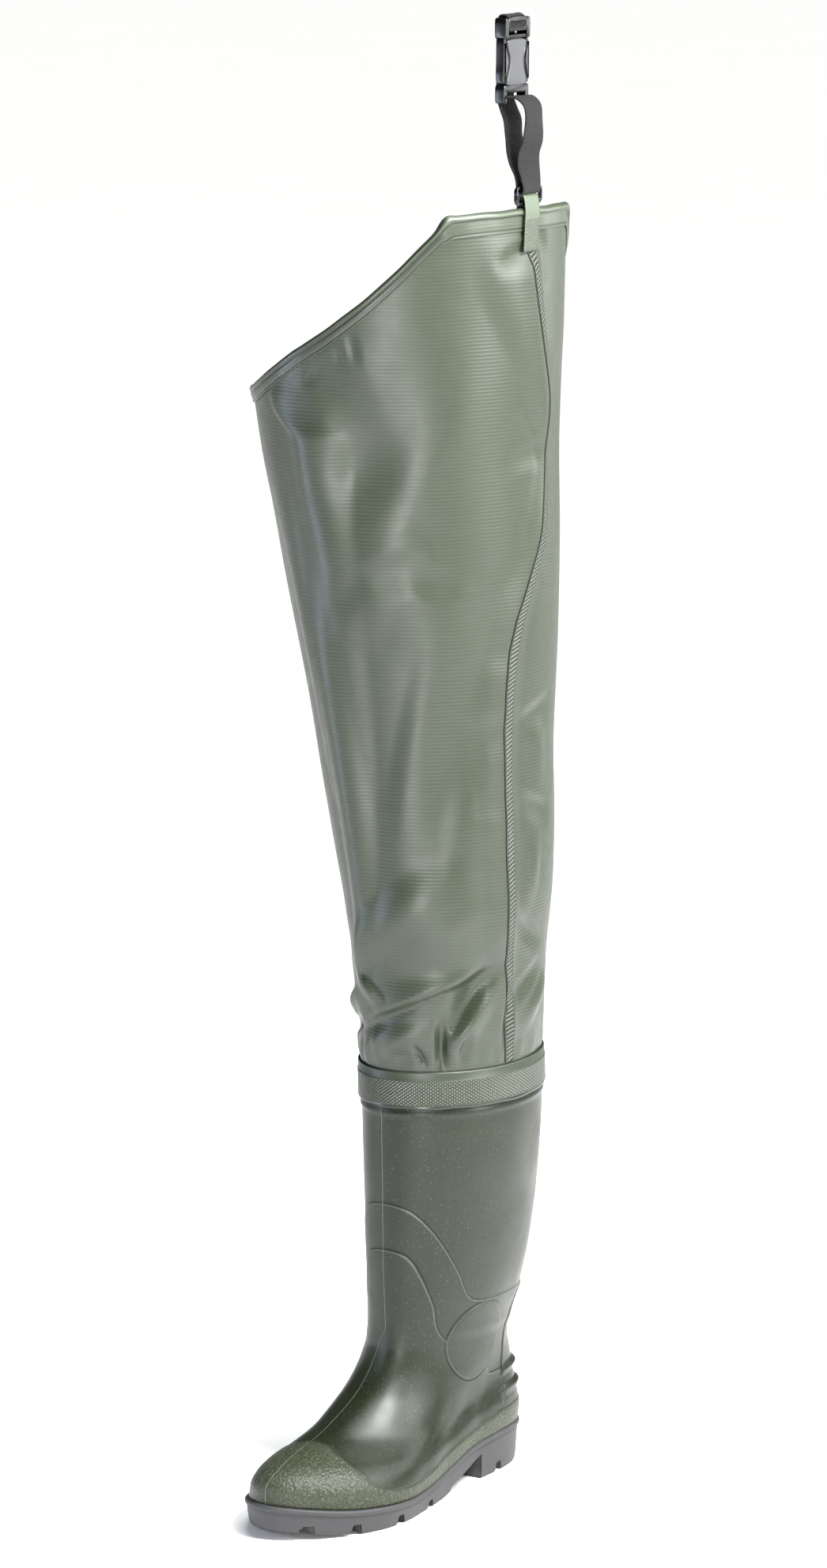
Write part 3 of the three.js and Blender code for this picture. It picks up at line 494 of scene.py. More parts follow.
# Meshes from points in millimetres
def grid_faces(rows, columns, around=True, wrap=False, flip=False):
    """Four-sided faces of a grid whose points run row by row. Around joins the last
    column to the first, and wrap the last row to the first."""
    spans = rows if wrap else rows - 1
    steps = columns if around else columns - 1
    j = np.arange(spans)[:, None]
    i = np.arange(steps)[None, :]
    next_j = (j + 1) % rows
    next_i = (i + 1) % columns
    corners = [j * columns + i, j * columns + next_i, next_j * columns + next_i, next_j * columns + i]
    faces = np.stack(corners, -1).reshape(-1, 4)
    return faces[:, ::-1] if flip else faces


def grid_uv(across, up, around=True, wrap=False, flip=False):
    """Corner coordinates of a grid's faces from points given with one more column than
    the grid where it goes round, and one more row where it wraps."""
    columns = across.shape[1]
    u = np.stack([across[:-1, :-1], across[:-1, 1:], across[1:, 1:], across[1:, :-1]], -1)
    v = np.stack([up[:-1, :-1], up[:-1, 1:], up[1:, 1:], up[1:, :-1]], -1)
    uv = np.stack([u, v], -1).reshape(-1, 4, 2)
    return uv[:, ::-1] if flip else uv


def shut_ends(count, start=0):
    """Faces straight across a ring of an even number of points, from each point to the
    one that mirrors it."""
    i = np.arange(1, count // 2 - 1)
    inner = np.stack([i, i + 1, count - i - 1, count - i], -1)
    last = count // 2
    tips = np.array([[0, 1, count - 1], [last - 1, last, last + 1]])
    return inner + start, tips + start


def make_piece(name, points, faces, uv=None, fields=None, smooth=True):
    """A mesh object from points (millimetres) and a list of face arrays. Fields are
    values stored per point: numbers or triples."""
    mesh = bpy.data.meshes.new(name)
    points = np.asarray(points, float).reshape(-1, 3)
    mesh.vertices.add(len(points))
    mesh.vertices.foreach_set("co", (points / 1000.0).astype(np.float32).ravel())
    faces = [np.asarray(part, np.int32) for part in faces if len(part)]
    corners = np.concatenate([part.ravel() for part in faces])
    counts = np.concatenate([np.full(len(part), part.shape[1]) for part in faces])
    starts = np.concatenate([[0], np.cumsum(counts)[:-1]])
    mesh.loops.add(len(corners))
    mesh.loops.foreach_set("vertex_index", corners.astype(np.int32))
    mesh.polygons.add(len(counts))
    mesh.polygons.foreach_set("loop_start", starts.astype(np.int32))
    mesh.polygons.foreach_set("use_smooth", np.full(len(counts), smooth))
    mesh.update(calc_edges=True)
    if uv is not None:
        layer = mesh.uv_layers.new(name="surface")
        values = np.zeros((len(corners), 2), np.float32)
        given = np.concatenate([np.asarray(part).reshape(-1, 2) for part in uv])
        values[: len(given)] = given / 1000.0
        layer.data.foreach_set("uv", values.ravel())
    for key, value in (fields or {}).items():
        value = np.asarray(value, np.float32)
        kind = "FLOAT" if value.ndim == 1 else "FLOAT_VECTOR"
        attribute = mesh.attributes.new(key, kind, "POINT")
        attribute.data.foreach_set("value" if value.ndim == 1 else "vector", value.ravel())
    mesh.validate()
    piece = bpy.data.objects.new(name, mesh)
    bpy.context.scene.collection.objects.link(piece)
    return piece


def outward(piece):
    """Turns a closed mesh's faces outwards when its signed volume is negative."""
    mesh = piece.data
    mesh.calc_loop_triangles()
    count = len(mesh.loop_triangles)
    corners = np.zeros(count * 3, np.int32)
    mesh.loop_triangles.foreach_get("vertices", corners)
    points = np.zeros(len(mesh.vertices) * 3, np.float32)
    mesh.vertices.foreach_get("co", points)
    a, b, c = points.reshape(-1, 3)[corners.reshape(-1, 3)].transpose(1, 0, 2).astype(float)
    volume = np.sum(a * np.cross(b, c))
    if volume < 0:
        mesh.flip_normals()
    return piece


def finish_piece(piece, material, slot, *nodes):
    """Gives a piece its material, and lets it ride in place of the nodes. The slot is not used."""
    piece.data.materials.append(material)
    outward(piece)
    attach(piece, "root")
    if nodes:
        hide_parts(*nodes)
    return piece


# The sole
WALL_INSET = ((-6.0, 1.6), (-5.0, 1.8), (-4.5, 1.9), (-4.2, 1.4), (-3.9, 0.6), (-3.4, 0.1),
              (-2.6, 0.0), (-1.8, 0.0), (-1.0, 0.2), (-0.4, 0.7), (0.0, 1.5), (0.1, 7.0))


def sole_under(x, y):
    """Height of the underside at a place. The toe spring is raised by the arch, which
    starts at a steep skewed wall, and by channels of a trapezoid section whose lines run
    straight from their outer to their inner share."""
    share = (HEEL_BACK - y) / SOLE_LENGTH
    wide = 2 * max(BALL_LATERAL, BALL_MEDIAL)
    side = np.clip((x + wide) / (2 * wide), 0, 1)
    height = TOE_HEIGHT * along(SPRING, "height", share)
    start = ARCH["share"][0] + ARCH_SKEW * (1 - 2 * side)
    wall = np.clip((share - start) / (ARCH["share"][1] - ARCH["share"][0]), 0, 1)
    slope = (ARCH["height"][1] - ARCH["height"][2]) / (ARCH["share"][1] - ARCH["share"][2])
    shares = np.concatenate([[0.2], ARCH["share"][2:]])
    roof = np.concatenate([[ARCH["height"][2] + slope * (0.2 - ARCH["share"][2])], ARCH["height"][2:]])
    arch = HEEL_HEIGHT * np.interp(share, shares, roof, right=0.0) * wall
    height = np.maximum(height, arch)
    for k in range(len(CHANNELS["lateral"])):
        lateral = CHANNELS["lateral"][k]
        medial = CHANNELS["medial"][k]
        depth = CHANNELS["depth"][k]
        base = TOE_HEIGHT * along(SPRING, "height", (lateral + medial) / 2)
        away = np.abs(share - mix(medial, lateral, side)) * SOLE_LENGTH
        foot = CHANNEL_FOOT / 2 + 1.2
        top = CHANNEL_TOP / 2
        cut = base - 5 + (depth + 5) * np.clip((foot - away) / (foot - top), 0, 1)
        height = np.maximum(height, np.where(away < foot, cut, height))
    return height


def make_outsole():
    """The wall goes up from the underside's edge: its inset falls from 4.4 at the tread
    to 1.6 under the groove, then follows the rounded lip. The underside is drawn along
    lines straight across the foot."""
    count = 1440
    angle = np.linspace(0, 2 * math.pi, count, endpoint=False)
    share = (1 - np.cos(angle)) / 2
    lip = lip_height(share)
    base = TOE_HEIGHT * along(SPRING, "height", share)
    inset = np.full(count, 4.0)
    for _ in range(3):
        x, y = outline_point(angle, inset)
        start = np.minimum(sole_under(x, y), lip - 7)
        inset = wall_inset(start, base, lip)
    rings = []
    for t in np.linspace(0, 1, 9):
        z = mix(start, lip - 6, t)
        x, y = outline_point(angle, wall_inset(z, base, lip))
        rings.append(np.stack([x, y, z], -1))
    for up, level in WALL_INSET[1:]:
        x, y = outline_point(angle, level)
        rings.append(np.stack([x, y, lip + up], -1))
    wall = np.stack(rings)
    ring = rings[0]
    half = count // 2
    across = 44
    left = ring[1:half]
    right = ring[:half:-1]
    t = np.linspace(0, 1, across + 1)[1:-1, None]
    inner = left[:, None, :] * (1 - t) + right[:, None, :] * t
    inner[..., 2] = sole_under(inner[..., 0], inner[..., 1])
    first = wall.shape[0] * count
    ids = np.empty((half - 1, across + 1), int)
    ids[:, 0] = np.arange(1, half)
    ids[:, -1] = np.arange(count - 1, half, -1)
    ids[:, 1:-1] = first + np.arange((half - 1) * (across - 1)).reshape(half - 1, across - 1)
    under = np.stack([ids[:-1, :-1], ids[:-1, 1:], ids[1:, 1:], ids[1:, :-1]], -1).reshape(-1, 4)
    heel = np.stack([np.full(across, 0), ids[0, 1:], ids[0, :-1]], -1)
    toe = np.stack([np.full(across, half), ids[-1, :-1], ids[-1, 1:]], -1)
    top, tips = shut_ends(count, start=(wall.shape[0] - 1) * count)
    faces = [grid_faces(wall.shape[0], count), under[:, ::-1], heel[:, ::-1], toe[:, ::-1], top, tips]
    points = np.concatenate([wall.reshape(-1, 3), inner.reshape(-1, 3)])
    return make_piece("sole_moulded", points, faces)


def wall_inset(z, base, lip):
    """How far the sole's wall stands in at a height: 4.4 to 3.2 over the tread's lowest
    1.4 mm, then straight to 1.6 below the lip's groove."""
    low = 4.4 - 1.2 * np.clip((z - base) / 1.4, 0, 1)
    t = np.clip((z - base - 1.4) / (lip - 6 - base - 1.4), 0, 1)
    return np.where(z < base + 1.4, low, mix(3.2, 1.6, t))


# The moulded upper
PARTING = table(
    ["share", "angle"],
    (0.0, 179),
    (2.4, 179),
    (3.8, 185),
    (5.0, 191),
    (6.5, 190),
    (8.0, 191),
    (9.0, 189),
    (10.0, 181.5),
    (15.0, 180.5),
)
RINGS_INNER = (15, 12.6, 11.2, 10, 9, 8, 6.5, 5, 3.4, 2, 1, 0)


def smooth_outline(edge):
    """Points (share, rise) to places (y, z), with a Catmull-Rom curve through those that
    lie on the boot."""
    pairs = np.array(edge, float)
    places = np.stack([foot_y(pairs[:, 0]), rise_height(pairs[:, 1])], -1)
    seen = (pairs[:, 0] > -0.1) & (pairs[:, 0] < 1.1) & (pairs[:, 1] > -0.5)
    count = len(places)
    out = []
    for k in range(count):
        here = places[k]
        follow = places[(k + 1) % count]
        if seen[k] and seen[(k + 1) % count]:
            before = places[k - 1] if seen[k - 1] else here
            after = places[(k + 2) % count] if seen[(k + 2) % count] else follow
            t = np.linspace(0, 1, 8, endpoint=False)[:, None]
            m0 = (follow - before) / 2
            m1 = (after - here) / 2
            curve = here * (2 * t**3 - 3 * t**2 + 1) + m0 * (t**3 - 2 * t**2 + t)
            out.append(curve + follow * (3 * t**2 - 2 * t**3) + m1 * (t**3 - t**2))
        else:
            out.append(here[None, :])
    return np.concatenate(out)


def edge_distance(places, outline):
    """Distance from each place to a closed outline: the least over its segments of the
    distance to the nearest point of the segment, and positive inside."""
    a = outline
    b = np.roll(outline, -1, axis=0)
    found = np.full(len(places), 1e9)
    inside = np.zeros(len(places), bool)
    for p, q in zip(a, b):
        line = q - p
        length = max(float(line @ line), 1e-9)
        t = np.clip(((places - p) @ line) / length, 0, 1)
        gap = places - p - t[:, None] * line
        found = np.minimum(found, np.hypot(gap[:, 0], gap[:, 1]))
        crosses = (p[1] > places[:, 1]) != (q[1] > places[:, 1])
        if abs(line[1]) > 1e-9:
            reach = p[0] + (places[:, 1] - p[1]) / line[1] * line[0]
            inside ^= crosses & (places[:, 0] < reach)
    return np.where(inside, found, -found)


def panel_distances(points):
    """Distance inside each panel's edge, seen from the side."""
    places = points[:, 1:3]
    disc = DISC_RADIUS - np.hypot(
        places[:, 0] - foot_y(DISC_SHARE), places[:, 1] - rise_height(DISC_RISE)
    )
    return {
        "shin": edge_distance(places, smooth_outline(SHIN_EDGE)),
        "vamp": edge_distance(places, smooth_outline(VAMP_EDGE)),
        "foxing": edge_distance(places, smooth_outline(FOXING_EDGE)),
        "counter": edge_distance(places, smooth_outline(COUNTER_EDGE)),
        "disc": disc,
    }


def panel_lift(found):
    """Step of the wall: the highest panel at a place, each with an edge 1.4 mm wide."""
    steps = {
        "shin": SHIN_STEP,
        "vamp": VAMP_STEP,
        "foxing": FOXING_STEP,
        "counter": COUNTER_STEP,
        "disc": DISC_STEP,
    }
    lift = np.zeros(len(found["shin"]))
    for name, step in steps.items():
        lift = np.maximum(lift, step * ramp(found[name], -0.7, 0.7))
    return lift


def rib_lift(angle, ring):
    """Ribs of the heel, whose height follows half an ellipse round the heel and whose
    section rises steeply from above, and the round rib under the band."""
    lift = np.zeros(np.shape(angle))
    for k in range(len(KICK_RIBS["ring"])):
        t = np.clip(np.degrees(turned(angle, 0)) / KICK_RIBS["reach"][k], -1, 1)
        out = 0.62 * KICK_RIB_HEIGHT * KICK_RIBS["height"][k] * np.sqrt(1 - t * t)
        r = (ring - KICK_RIBS["ring"][k]) / KICK_RIBS["half"][k]
        profile = np.interp(r, [-0.9, -0.2, -0.05, 0.06, 0.8], [0, 0.78, 1, 0.92, 0])
        lift = np.maximum(lift, out * profile)
    t = np.clip((ring - SHAFT_RIB_RING) / SHAFT_RIB_HALF, -1, 1)
    return lift + SHAFT_RIB_HEIGHT * (1 - t * t)


def even_rings(count):
    """Ring numbers that stand evenly up the boot: the mean distance between close rings
    is added up and cut into equal steps."""
    fine = np.linspace(0, UPPER_TOP, 601)
    angle = np.linspace(0, 2 * math.pi, 24, endpoint=False)
    points = upper_point(angle[None, :], fine[:, None])
    steps = np.linalg.norm(np.diff(points, axis=0), axis=-1).mean(1)
    total = np.concatenate([[0], np.cumsum(steps)])
    return np.interp(np.linspace(0, total[-1], count), total, fine)


def make_boot():
    """Outer wall: the plain upper moved out along its normal by its panels and ribs.
    Inner wall: the plain upper moved in by the wall. Both meet at the shaft's top and on
    the sole's lip."""
    columns = 440
    angle = np.linspace(0, 2 * math.pi, columns, endpoint=False)
    rings = even_rings(204)
    a, r = np.meshgrid(angle, rings)
    plain = upper_point(a, r)
    found = panel_distances(plain.reshape(-1, 3))
    found = {name: value.reshape(a.shape) for name, value in found.items()}
    flat = {name: value.ravel() for name, value in found.items()}
    lift = panel_lift(flat).reshape(a.shape) + rib_lift(a, r)
    seat = 0.1 * (r < 1e-6)
    outer = plain + upper_normal(a, r) * lift[..., None]
    outer[..., 2] += seat
    ai, ri = np.meshgrid(angle, np.array(RINGS_INNER, float))
    inner = upper_point(ai, ri) - upper_normal(ai, ri) * UPPER_WALL
    inner[..., 2] += 0.1 * (ri < 1e-6)
    points = np.concatenate([outer, inner])
    covered = (found["foxing"] > 1.2) | (found["disc"] > 1.2)
    split = (found["counter"] > -2.5) & (found["foxing"] < 1.2)
    vamp = np.where(covered | split, 20.0, found["vamp"])
    counter = np.where(covered, 20.0, found["counter"])
    line = turned(a, along(PARTING, "angle", r))
    parting = line * np.hypot(plain[..., 0] * 0.2, 55.0)
    upper = np.stack([found["shin"], vamp, found["foxing"]], -1)
    lower = np.stack([counter, found["disc"], parting], -1)
    rest = np.full((len(RINGS_INNER), columns, 3), 30.0)
    upper = np.concatenate([upper, rest * [1, 1, -1]]).reshape(-1, 3)
    lower = np.concatenate([lower, rest * [1, -1, 1]]).reshape(-1, 3)
    faces = [grid_faces(len(points), columns, wrap=True)]
    fields = {"panel_upper": upper, "panel_lower": lower}
    return make_piece("boot_moulded", points, faces, fields=fields)


def make_insole():
    """Board on the sole: the upper's lowest ring moved in, raised by its thickness."""
    columns = 240
    angle = np.linspace(0, 2 * math.pi, columns, endpoint=False)
    zero = np.zeros(columns)
    inset = UPPER_WALL + 2 * CLEARANCE + 0.7
    place = upper_point(angle, zero) - upper_normal(angle, zero) * inset
    lip = lip_height((1 - np.cos(angle)) / 2)
    rings = []
    for out, up in ((0.8, 0.0), (0.0, 0.6), (0.0, 3.2), (0.6, 4.0)):
        ring = place - upper_normal(angle, zero) * out
        ring[:, 2] = lip + 2 * CLEARANCE + up
        rings.append(ring)
    points = np.stack(rings)
    low, low_tips = shut_ends(columns)
    top, top_tips = shut_ends(columns, start=3 * columns)
    faces = [grid_faces(4, columns), low[:, ::-1], low_tips[:, ::-1], top, top_tips]
    return make_piece("insole_board", points, faces)


# Finer creases of the fabric, on top of the part's own folds: middle, slope, half length,
# half widths on the left and right of the way it runs, and how far out
CREASES = table(
    ["angle", "height", "slope", "long", "left", "right", "out"],
    (99, 0.958, 25, 24, 9, 16, -4.5),
    (86, 0.972, 100, 16, 10, 10, -2.5),
    (174, 0.824, 60, 13, 4, 5, -1.4),
    (158, 0.858, 100, 18, 4, 6, -1.5),
    (163, 0.848, 95, 12, 4, 5, -1.1),
    (164, 0.805, 112, 40, 22, 30, -3.2),
    (158, 0.722, 62, 46, 26, 34, -2.6),
    (131, 0.775, 60, 78, 50, 66, 1.8),
    (150, 0.608, 20, 34, 16, 26, -2.8),
    (164, 0.559, 60, 36, 20, 28, 2.8),
    (135, 0.591, 160, 26, 14, 20, -2.0),
    (146, 0.4, 74, 135, 22, 40, 3.4),
    (91, 0.732, 6, 28, 10, 16, -2.0),
    (91, 0.708, 10, 22, 10, 10, 1.2),
    (108, 0.51, 12, 26, 16, 22, -1.6),
    (112, 0.418, 8, 30, 18, 26, -1.7),
    (114, 0.335, 14, 24, 14, 18, -1.0),
    (128, 0.3, 60, 66, 34, 46, 1.8),
    (135, 0.186, 5, 100, 70, 34, 6.0),
    (158, 0.112, 16, 132, 36, 9, 7.0),
    (123, 0.107, 41, 48, 24, 12, -5.0),
    (140, 0.055, 93, 28, 12, 9, -4.2),
    (125, 0.078, 46, 50, 10, 20, 3.8),
    (168, 0.058, 8, 60, 16, 16, 3.0),
    (185, 0.119, 155, 28, 16, 5, 3.6),
    (153, 0.042, 140, 16, 5, 5, -2.0),
    (127, 0.05, 60, 16, 9, 10, -2.6),
    (100, 0.085, 84, 40, 8, 12, -3.0),
    (216, 0.066, 10, 44, 8, 9, -4.5),
    (83, 0.432, 14, 36, 10, 20, -3.0),
    (80, 0.38, 100, 36, 16, 16, 1.8),
    (82, 0.322, 160, 34, 20, 9, -3.0),
    (86, 0.25, 80, 40, 16, 16, 2.0),
    (84, 0.178, 150, 36, 16, 8, -2.6),
    (84, 0.118, 24, 34, 8, 14, -2.4),
    (72, 0.09, 30, 40, 12, 14, 2.2),
    (213, 0.095, 20, 40, 12, 12, 3.2),
    (250, 0.14, 158, 70, 14, 14, -3.4),
    (262, 0.19, 160, 70, 15, 15, 2.8),
    (290, 0.1, 24, 70, 14, 14, -3.2),
    (318, 0.15, 20, 60, 15, 15, 2.6),
    (345, 0.09, 150, 60, 14, 14, -3.0),
    (20, 0.12, 28, 60, 15, 15, 2.6),
    (40, 0.07, 35, 40, 12, 12, -2.4),
    (240, 0.62, 100, 130, 14, 34, 3.4),
    (285, 0.7, 78, 120, 30, 18, -3.2),
    (320, 0.62, 100, 120, 16, 34, 3.0),
    (350, 0.74, 88, 110, 30, 16, -3.0),
    (20, 0.66, 84, 120, 20, 36, 2.8),
    (300, 0.3, 70, 110, 18, 36, 3.2),
    (30, 0.34, 104, 90, 30, 16, -2.8),
)

# Long folds that run down the leg: where they are at each height share, how far out,
# and their half widths to the left and right
FRONT_RIDGE = table(
    ["share", "angle", "out", "left", "right"],
    (0.05, 205, 0.0, 14, 24),
    (0.1, 198, 1.6, 18, 24),
    (0.19, 188, 3.6, 26, 28),
    (0.29, 183, 4.2, 30, 30),
    (0.4, 178.5, 4.4, 32, 30),
    (0.52, 178, 4.4, 32, 30),
    (0.61, 176.5, 4.6, 30, 28),
    (0.715, 177, 5.0, 28, 32),
    (0.755, 179, 4.6, 22, 38),
    (0.77, 187, 3.8, 12, 46),
    (0.79, 193, 2.6, 11, 50),
    (0.81, 194, 1.2, 10, 40),
    (0.83, 194, 0.0, 10, 30),
)
SEAM_RIDGE = table(
    ["share", "angle", "out", "left", "right"],
    (0.03, 99, 0.0, 24, 20),
    (0.1, 101, 2.2, 26, 20),
    (0.2, 106, 3.2, 30, 24),
    (0.45, 106, 3.4, 30, 26),
    (0.535, 101, 3.0, 26, 24),
    (0.65, 83, 2.0, 20, 20),
    (0.72, 79, 2.4, 14, 18),
    (0.79, 84, 6.0, 22, 18),
    (0.86, 90, 7.0, 34, 20),
    (0.93, 94, 6.0, 46, 20),
    (0.965, 95, 2.6, 46, 20),
    (0.985, 95, 0.0, 40, 20),
)


def crease_lift(angle, share):
    """Sum of bells (1 - u^2)^2 (1 - v^2)^2, each in its own slanted frame, u along the
    crease and v across it, where v is a share of the width on its own side."""
    lift = np.zeros(np.broadcast(angle, share).shape)
    for k in range(len(CREASES["angle"])):
        across = -turned(angle, CREASES["angle"][k]) * FOLD_GIRTH
        up = (share - CREASES["height"][k]) * (LEG_TOP - SHAFT_TOP)
        slope = math.radians(CREASES["slope"][k])
        u = (across * math.cos(slope) + up * math.sin(slope)) / CREASES["long"][k]
        v = up * math.cos(slope) - across * math.sin(slope)
        v = v / np.where(v > 0, CREASES["left"][k], CREASES["right"][k])
        bell = np.clip(1 - u * u, 0, 1) * np.clip(1 - v * v, 0, 1)
        lift = lift + CREASES["out"][k] * bell * bell
    return lift * mix(1.5, 1.0, ramp(share, 0.2, 0.32))


def drape_lift(angle, share):
    """Long folds: at each height a bell (1 - v^2)^2 round the fold's own angle."""
    lift = np.zeros(np.broadcast(angle, share).shape)
    for fold in (FRONT_RIDGE, SEAM_RIDGE):
        v = turned(angle, along(fold, "angle", share)) * FOLD_GIRTH
        broad = np.where(v > 0, along(fold, "left", share), along(fold, "right", share))
        bell = np.clip(1 - (v / broad) ** 2, 0, 1) ** 2
        lift = lift + 1.2 * along(fold, "out", share) * bell
    return lift


# Short pleats where the fabric is gathered into the band: angle, reach up the leg, half
# width and height, all in millimetres but the angle
PLEATS = table(
    ["angle", "reach", "broad", "out"],
    (104, 22, 5, 1.3),
    (113, 24, 6, 1.0),
    (124, 26, 7, 0.9),
    (133, 22, 5, 1.0),
    (147, 24, 5, 1.4),
    (157, 22, 5, 1.0),
    (171, 28, 6, 1.2),
    (183, 30, 5, 1.2),
    (196, 42, 6, 1.6),
    (209, 30, 6, 1.3),
    (224, 36, 7, 1.5),
    (243, 30, 6, 1.3),
    (262, 40, 7, 1.6),
    (281, 28, 6, 1.2),
    (299, 38, 7, 1.5),
    (318, 30, 6, 1.3),
    (338, 42, 7, 1.6),
    (357, 28, 6, 1.2),
    (15, 36, 7, 1.5),
    (34, 28, 6, 1.2),
    (54, 40, 7, 1.5),
    (74, 26, 6, 1.2),
    (88, 20, 5, 1.0),
)


def gather_lift(angle, share):
    """Short pleats over the band: each is (1 - v^2)^2 across, and rises from the band's
    edge and dies away with height."""
    up = (share * (LEG_TOP - SHAFT_TOP)) - BAND_ABOVE
    lift = np.zeros(np.broadcast(angle, share).shape)
    for k in range(len(PLEATS["angle"])):
        fan = 1 + 0.02 * np.maximum(up, 0)
        v = turned(angle, PLEATS["angle"][k]) * 66.0 / (PLEATS["broad"][k] * fan)
        reach = PLEATS["reach"][k]
        rise = ramp(up, -3, 9) * (1 - ramp(up, 9, reach))
        lift = lift + PLEATS["out"][k] * rise * np.clip(1 - v * v, 0, 1) ** 2
    return lift


def seam_distance(angle, share):
    """Distance along the fabric from the middle of the outer seam."""
    centre = along(SEAM, "angle", share)
    girth = mix(64.0, 112.0, np.clip(share, 0, 1))
    return turned(angle, centre) * girth


def seam_lift(angle, share):
    """The welded seam pulls the fabric in a little on both sides of its tape, with small
    dimples spaced at listed places."""
    away = seam_distance(angle, share)
    side = np.exp(-(((np.abs(away) - 9.5) / 6.0) ** 2))
    dimple = np.zeros(np.shape(away))
    for place, reach, depth in ((0.51, 0.034, 0.5), (0.418, 0.04, 0.6), (0.335, 0.03, 0.4),
                                (0.6, 0.036, 0.45), (0.25, 0.03, 0.35), (0.12, 0.03, 0.5)):
        dimple = dimple + depth * np.exp(-(((share - place) / reach) ** 2))
    return -(0.15 + dimple) * side * ramp(share, 0.02, 0.08) * (1 - ramp(share, 0.9, 0.96))


def fabric_point(angle, share, lift):
    """The fabric with its folds, creases, pleats and seam, moved out by a lift."""
    fine = crease_lift(angle, share) + drape_lift(angle, share)
    fine = fine + gather_lift(angle, share) + seam_lift(angle, share)
    calm = 1 - 0.85 * ramp(share, collar_share(angle) - 0.03, collar_share(angle))
    return leg_point(angle, share, lift + fine * calm)


def make_leg():
    """Outer and inner face of the fabric, one row of points above the other from the
    shaft's top to the collar, joined at both ends. The inner face has fewer rows, so it
    keeps 2 mm further in between the collar and the shaft."""
    columns = 300
    angle = np.linspace(0, 2 * math.pi, columns, endpoint=False)
    outer_rows = np.linspace(0, 1, 206) ** 1.3
    inner_rows = np.linspace(1, 0, 112) ** 1.3

    def face(rows, edge, middle):
        a, row = np.meshgrid(angle, rows)
        share = row * mix(1, collar_share(a), np.clip(row / 0.5, 0, 1))
        lift = mix(edge, middle, ramp(row, 0.0, 0.03) * (1 - ramp(row, 0.93, 0.97)))
        return fabric_point(a, share, lift)

    outer = face(outer_rows, 0.0, 0.0)
    inner = face(inner_rows, -FABRIC_WALL, -FABRIC_WALL - 2.0)
    points = np.concatenate([outer, inner])
    rows = len(outer_rows)
    wide = np.append(angle, 2 * math.pi)
    a, row = np.meshgrid(wide, np.concatenate([outer_rows, inner_rows, [0]]))
    across = np.unwrap(a - math.radians(COLLAR_SEAM)) * 100.0
    share = row * mix(1, collar_share(a), np.clip(row / 0.5, 0, 1))
    up = leg_height(share)
    uv = grid_uv(across, up)
    inside = np.concatenate([np.zeros(outer.shape[:2]), np.ones(inner.shape[:2])]).ravel()
    faces = [grid_faces(rows + len(inner_rows), columns, wrap=True)]
    return make_piece("leg_fabric", points, faces, uv=[uv], fields={"inside": inside})


def ring_at(height):
    """Ring of the upper whose front stands at a height, by table lookup."""
    rings = np.linspace(12, UPPER_TOP, 400)
    heights = upper_point(np.full(400, math.pi), rings)[:, 2]
    return np.interp(height, heights, rings)


def make_weld_band():
    """Section carried round: from the fabric out over the plain rim, down over the
    knurled face and under its lower edge, where the weld has squeezed out unevenly."""
    columns = 720
    angle = np.linspace(0, 2 * math.pi, columns, endpoint=False)
    low = SHAFT_TOP - BAND_BELOW
    high = SHAFT_TOP + BAND_ABOVE
    inside = 2 * CLEARANCE
    full = inside + BAND_THICKNESS
    rim = full - 0.7
    section = (
        (inside, low + 0.2),
        (inside + 0.8, low - 0.3),
        (full - 0.5, low - 0.2),
        (full + 0.25, low + 0.5),
        (full + 0.1, low + 1.6),
        (full - 0.1, low + 2.4),
        (full, low + 3.2),
        (full, mix(low, high, 0.3)),
        (full, mix(low, high, 0.5)),
        (full, high - BAND_RIM - 0.8),
        (full - 0.15, high - BAND_RIM - 0.2),
        (rim, high - BAND_RIM + 0.5),
        (rim - 0.1, high - 1.0),
        (rim - 0.5, high - 0.1),
        (inside + 0.2, high),
        (inside - 0.4, high - 1.5),
        (inside, SHAFT_TOP + 1.2),
    )
    rows = []
    wander = 0.9 * np.sin(2 * angle + 0.6) + 0.5 * np.sin(5 * angle + 2.0)
    squeeze = 0.5 + 0.5 * np.sin(9 * angle) * np.sin(4 * angle + 1.0)
    lap = ramp(turned(angle, 127), -0.012, 0.012) * (1 - ramp(turned(angle, 104), -0.02, 0.02))
    for out, z in section:
        outside = out > inside + 0.5
        near_low = max(0.0, 1 - abs(z - low) / 2.5) * outside
        level = np.full(columns, out) + near_low * 0.7 * squeeze + 0.35 * lap * outside
        height = np.full(columns, z) + near_low * (0.5 * wander - 0.8 * squeeze)
        height = height + 0.5 * wander * (z > high - 3) * outside
        share = np.maximum(0, (height - SHAFT_TOP) / (LEG_TOP - SHAFT_TOP))
        on_leg = leg_point(angle, share, level)
        ring = ring_at(height)
        on_shaft = upper_point(angle, ring) + upper_normal(angle, ring) * level[:, None]
        points = np.where((height > SHAFT_TOP)[:, None], on_leg, on_shaft)
        points[:, 2] = height
        rows.append(points)
    points = np.stack(rows)
    wide = np.append(angle, 2 * math.pi)
    across = np.broadcast_to(wide * 66.0, (len(section) + 1, columns + 1))
    up = np.array([z for out, z in section] + [section[0][1]], float) - low
    up = np.broadcast_to(up[:, None], across.shape)
    faces = [grid_faces(len(section), columns, wrap=True)]
    return make_piece("band_knurled", points, faces, uv=[grid_uv(across, up)])


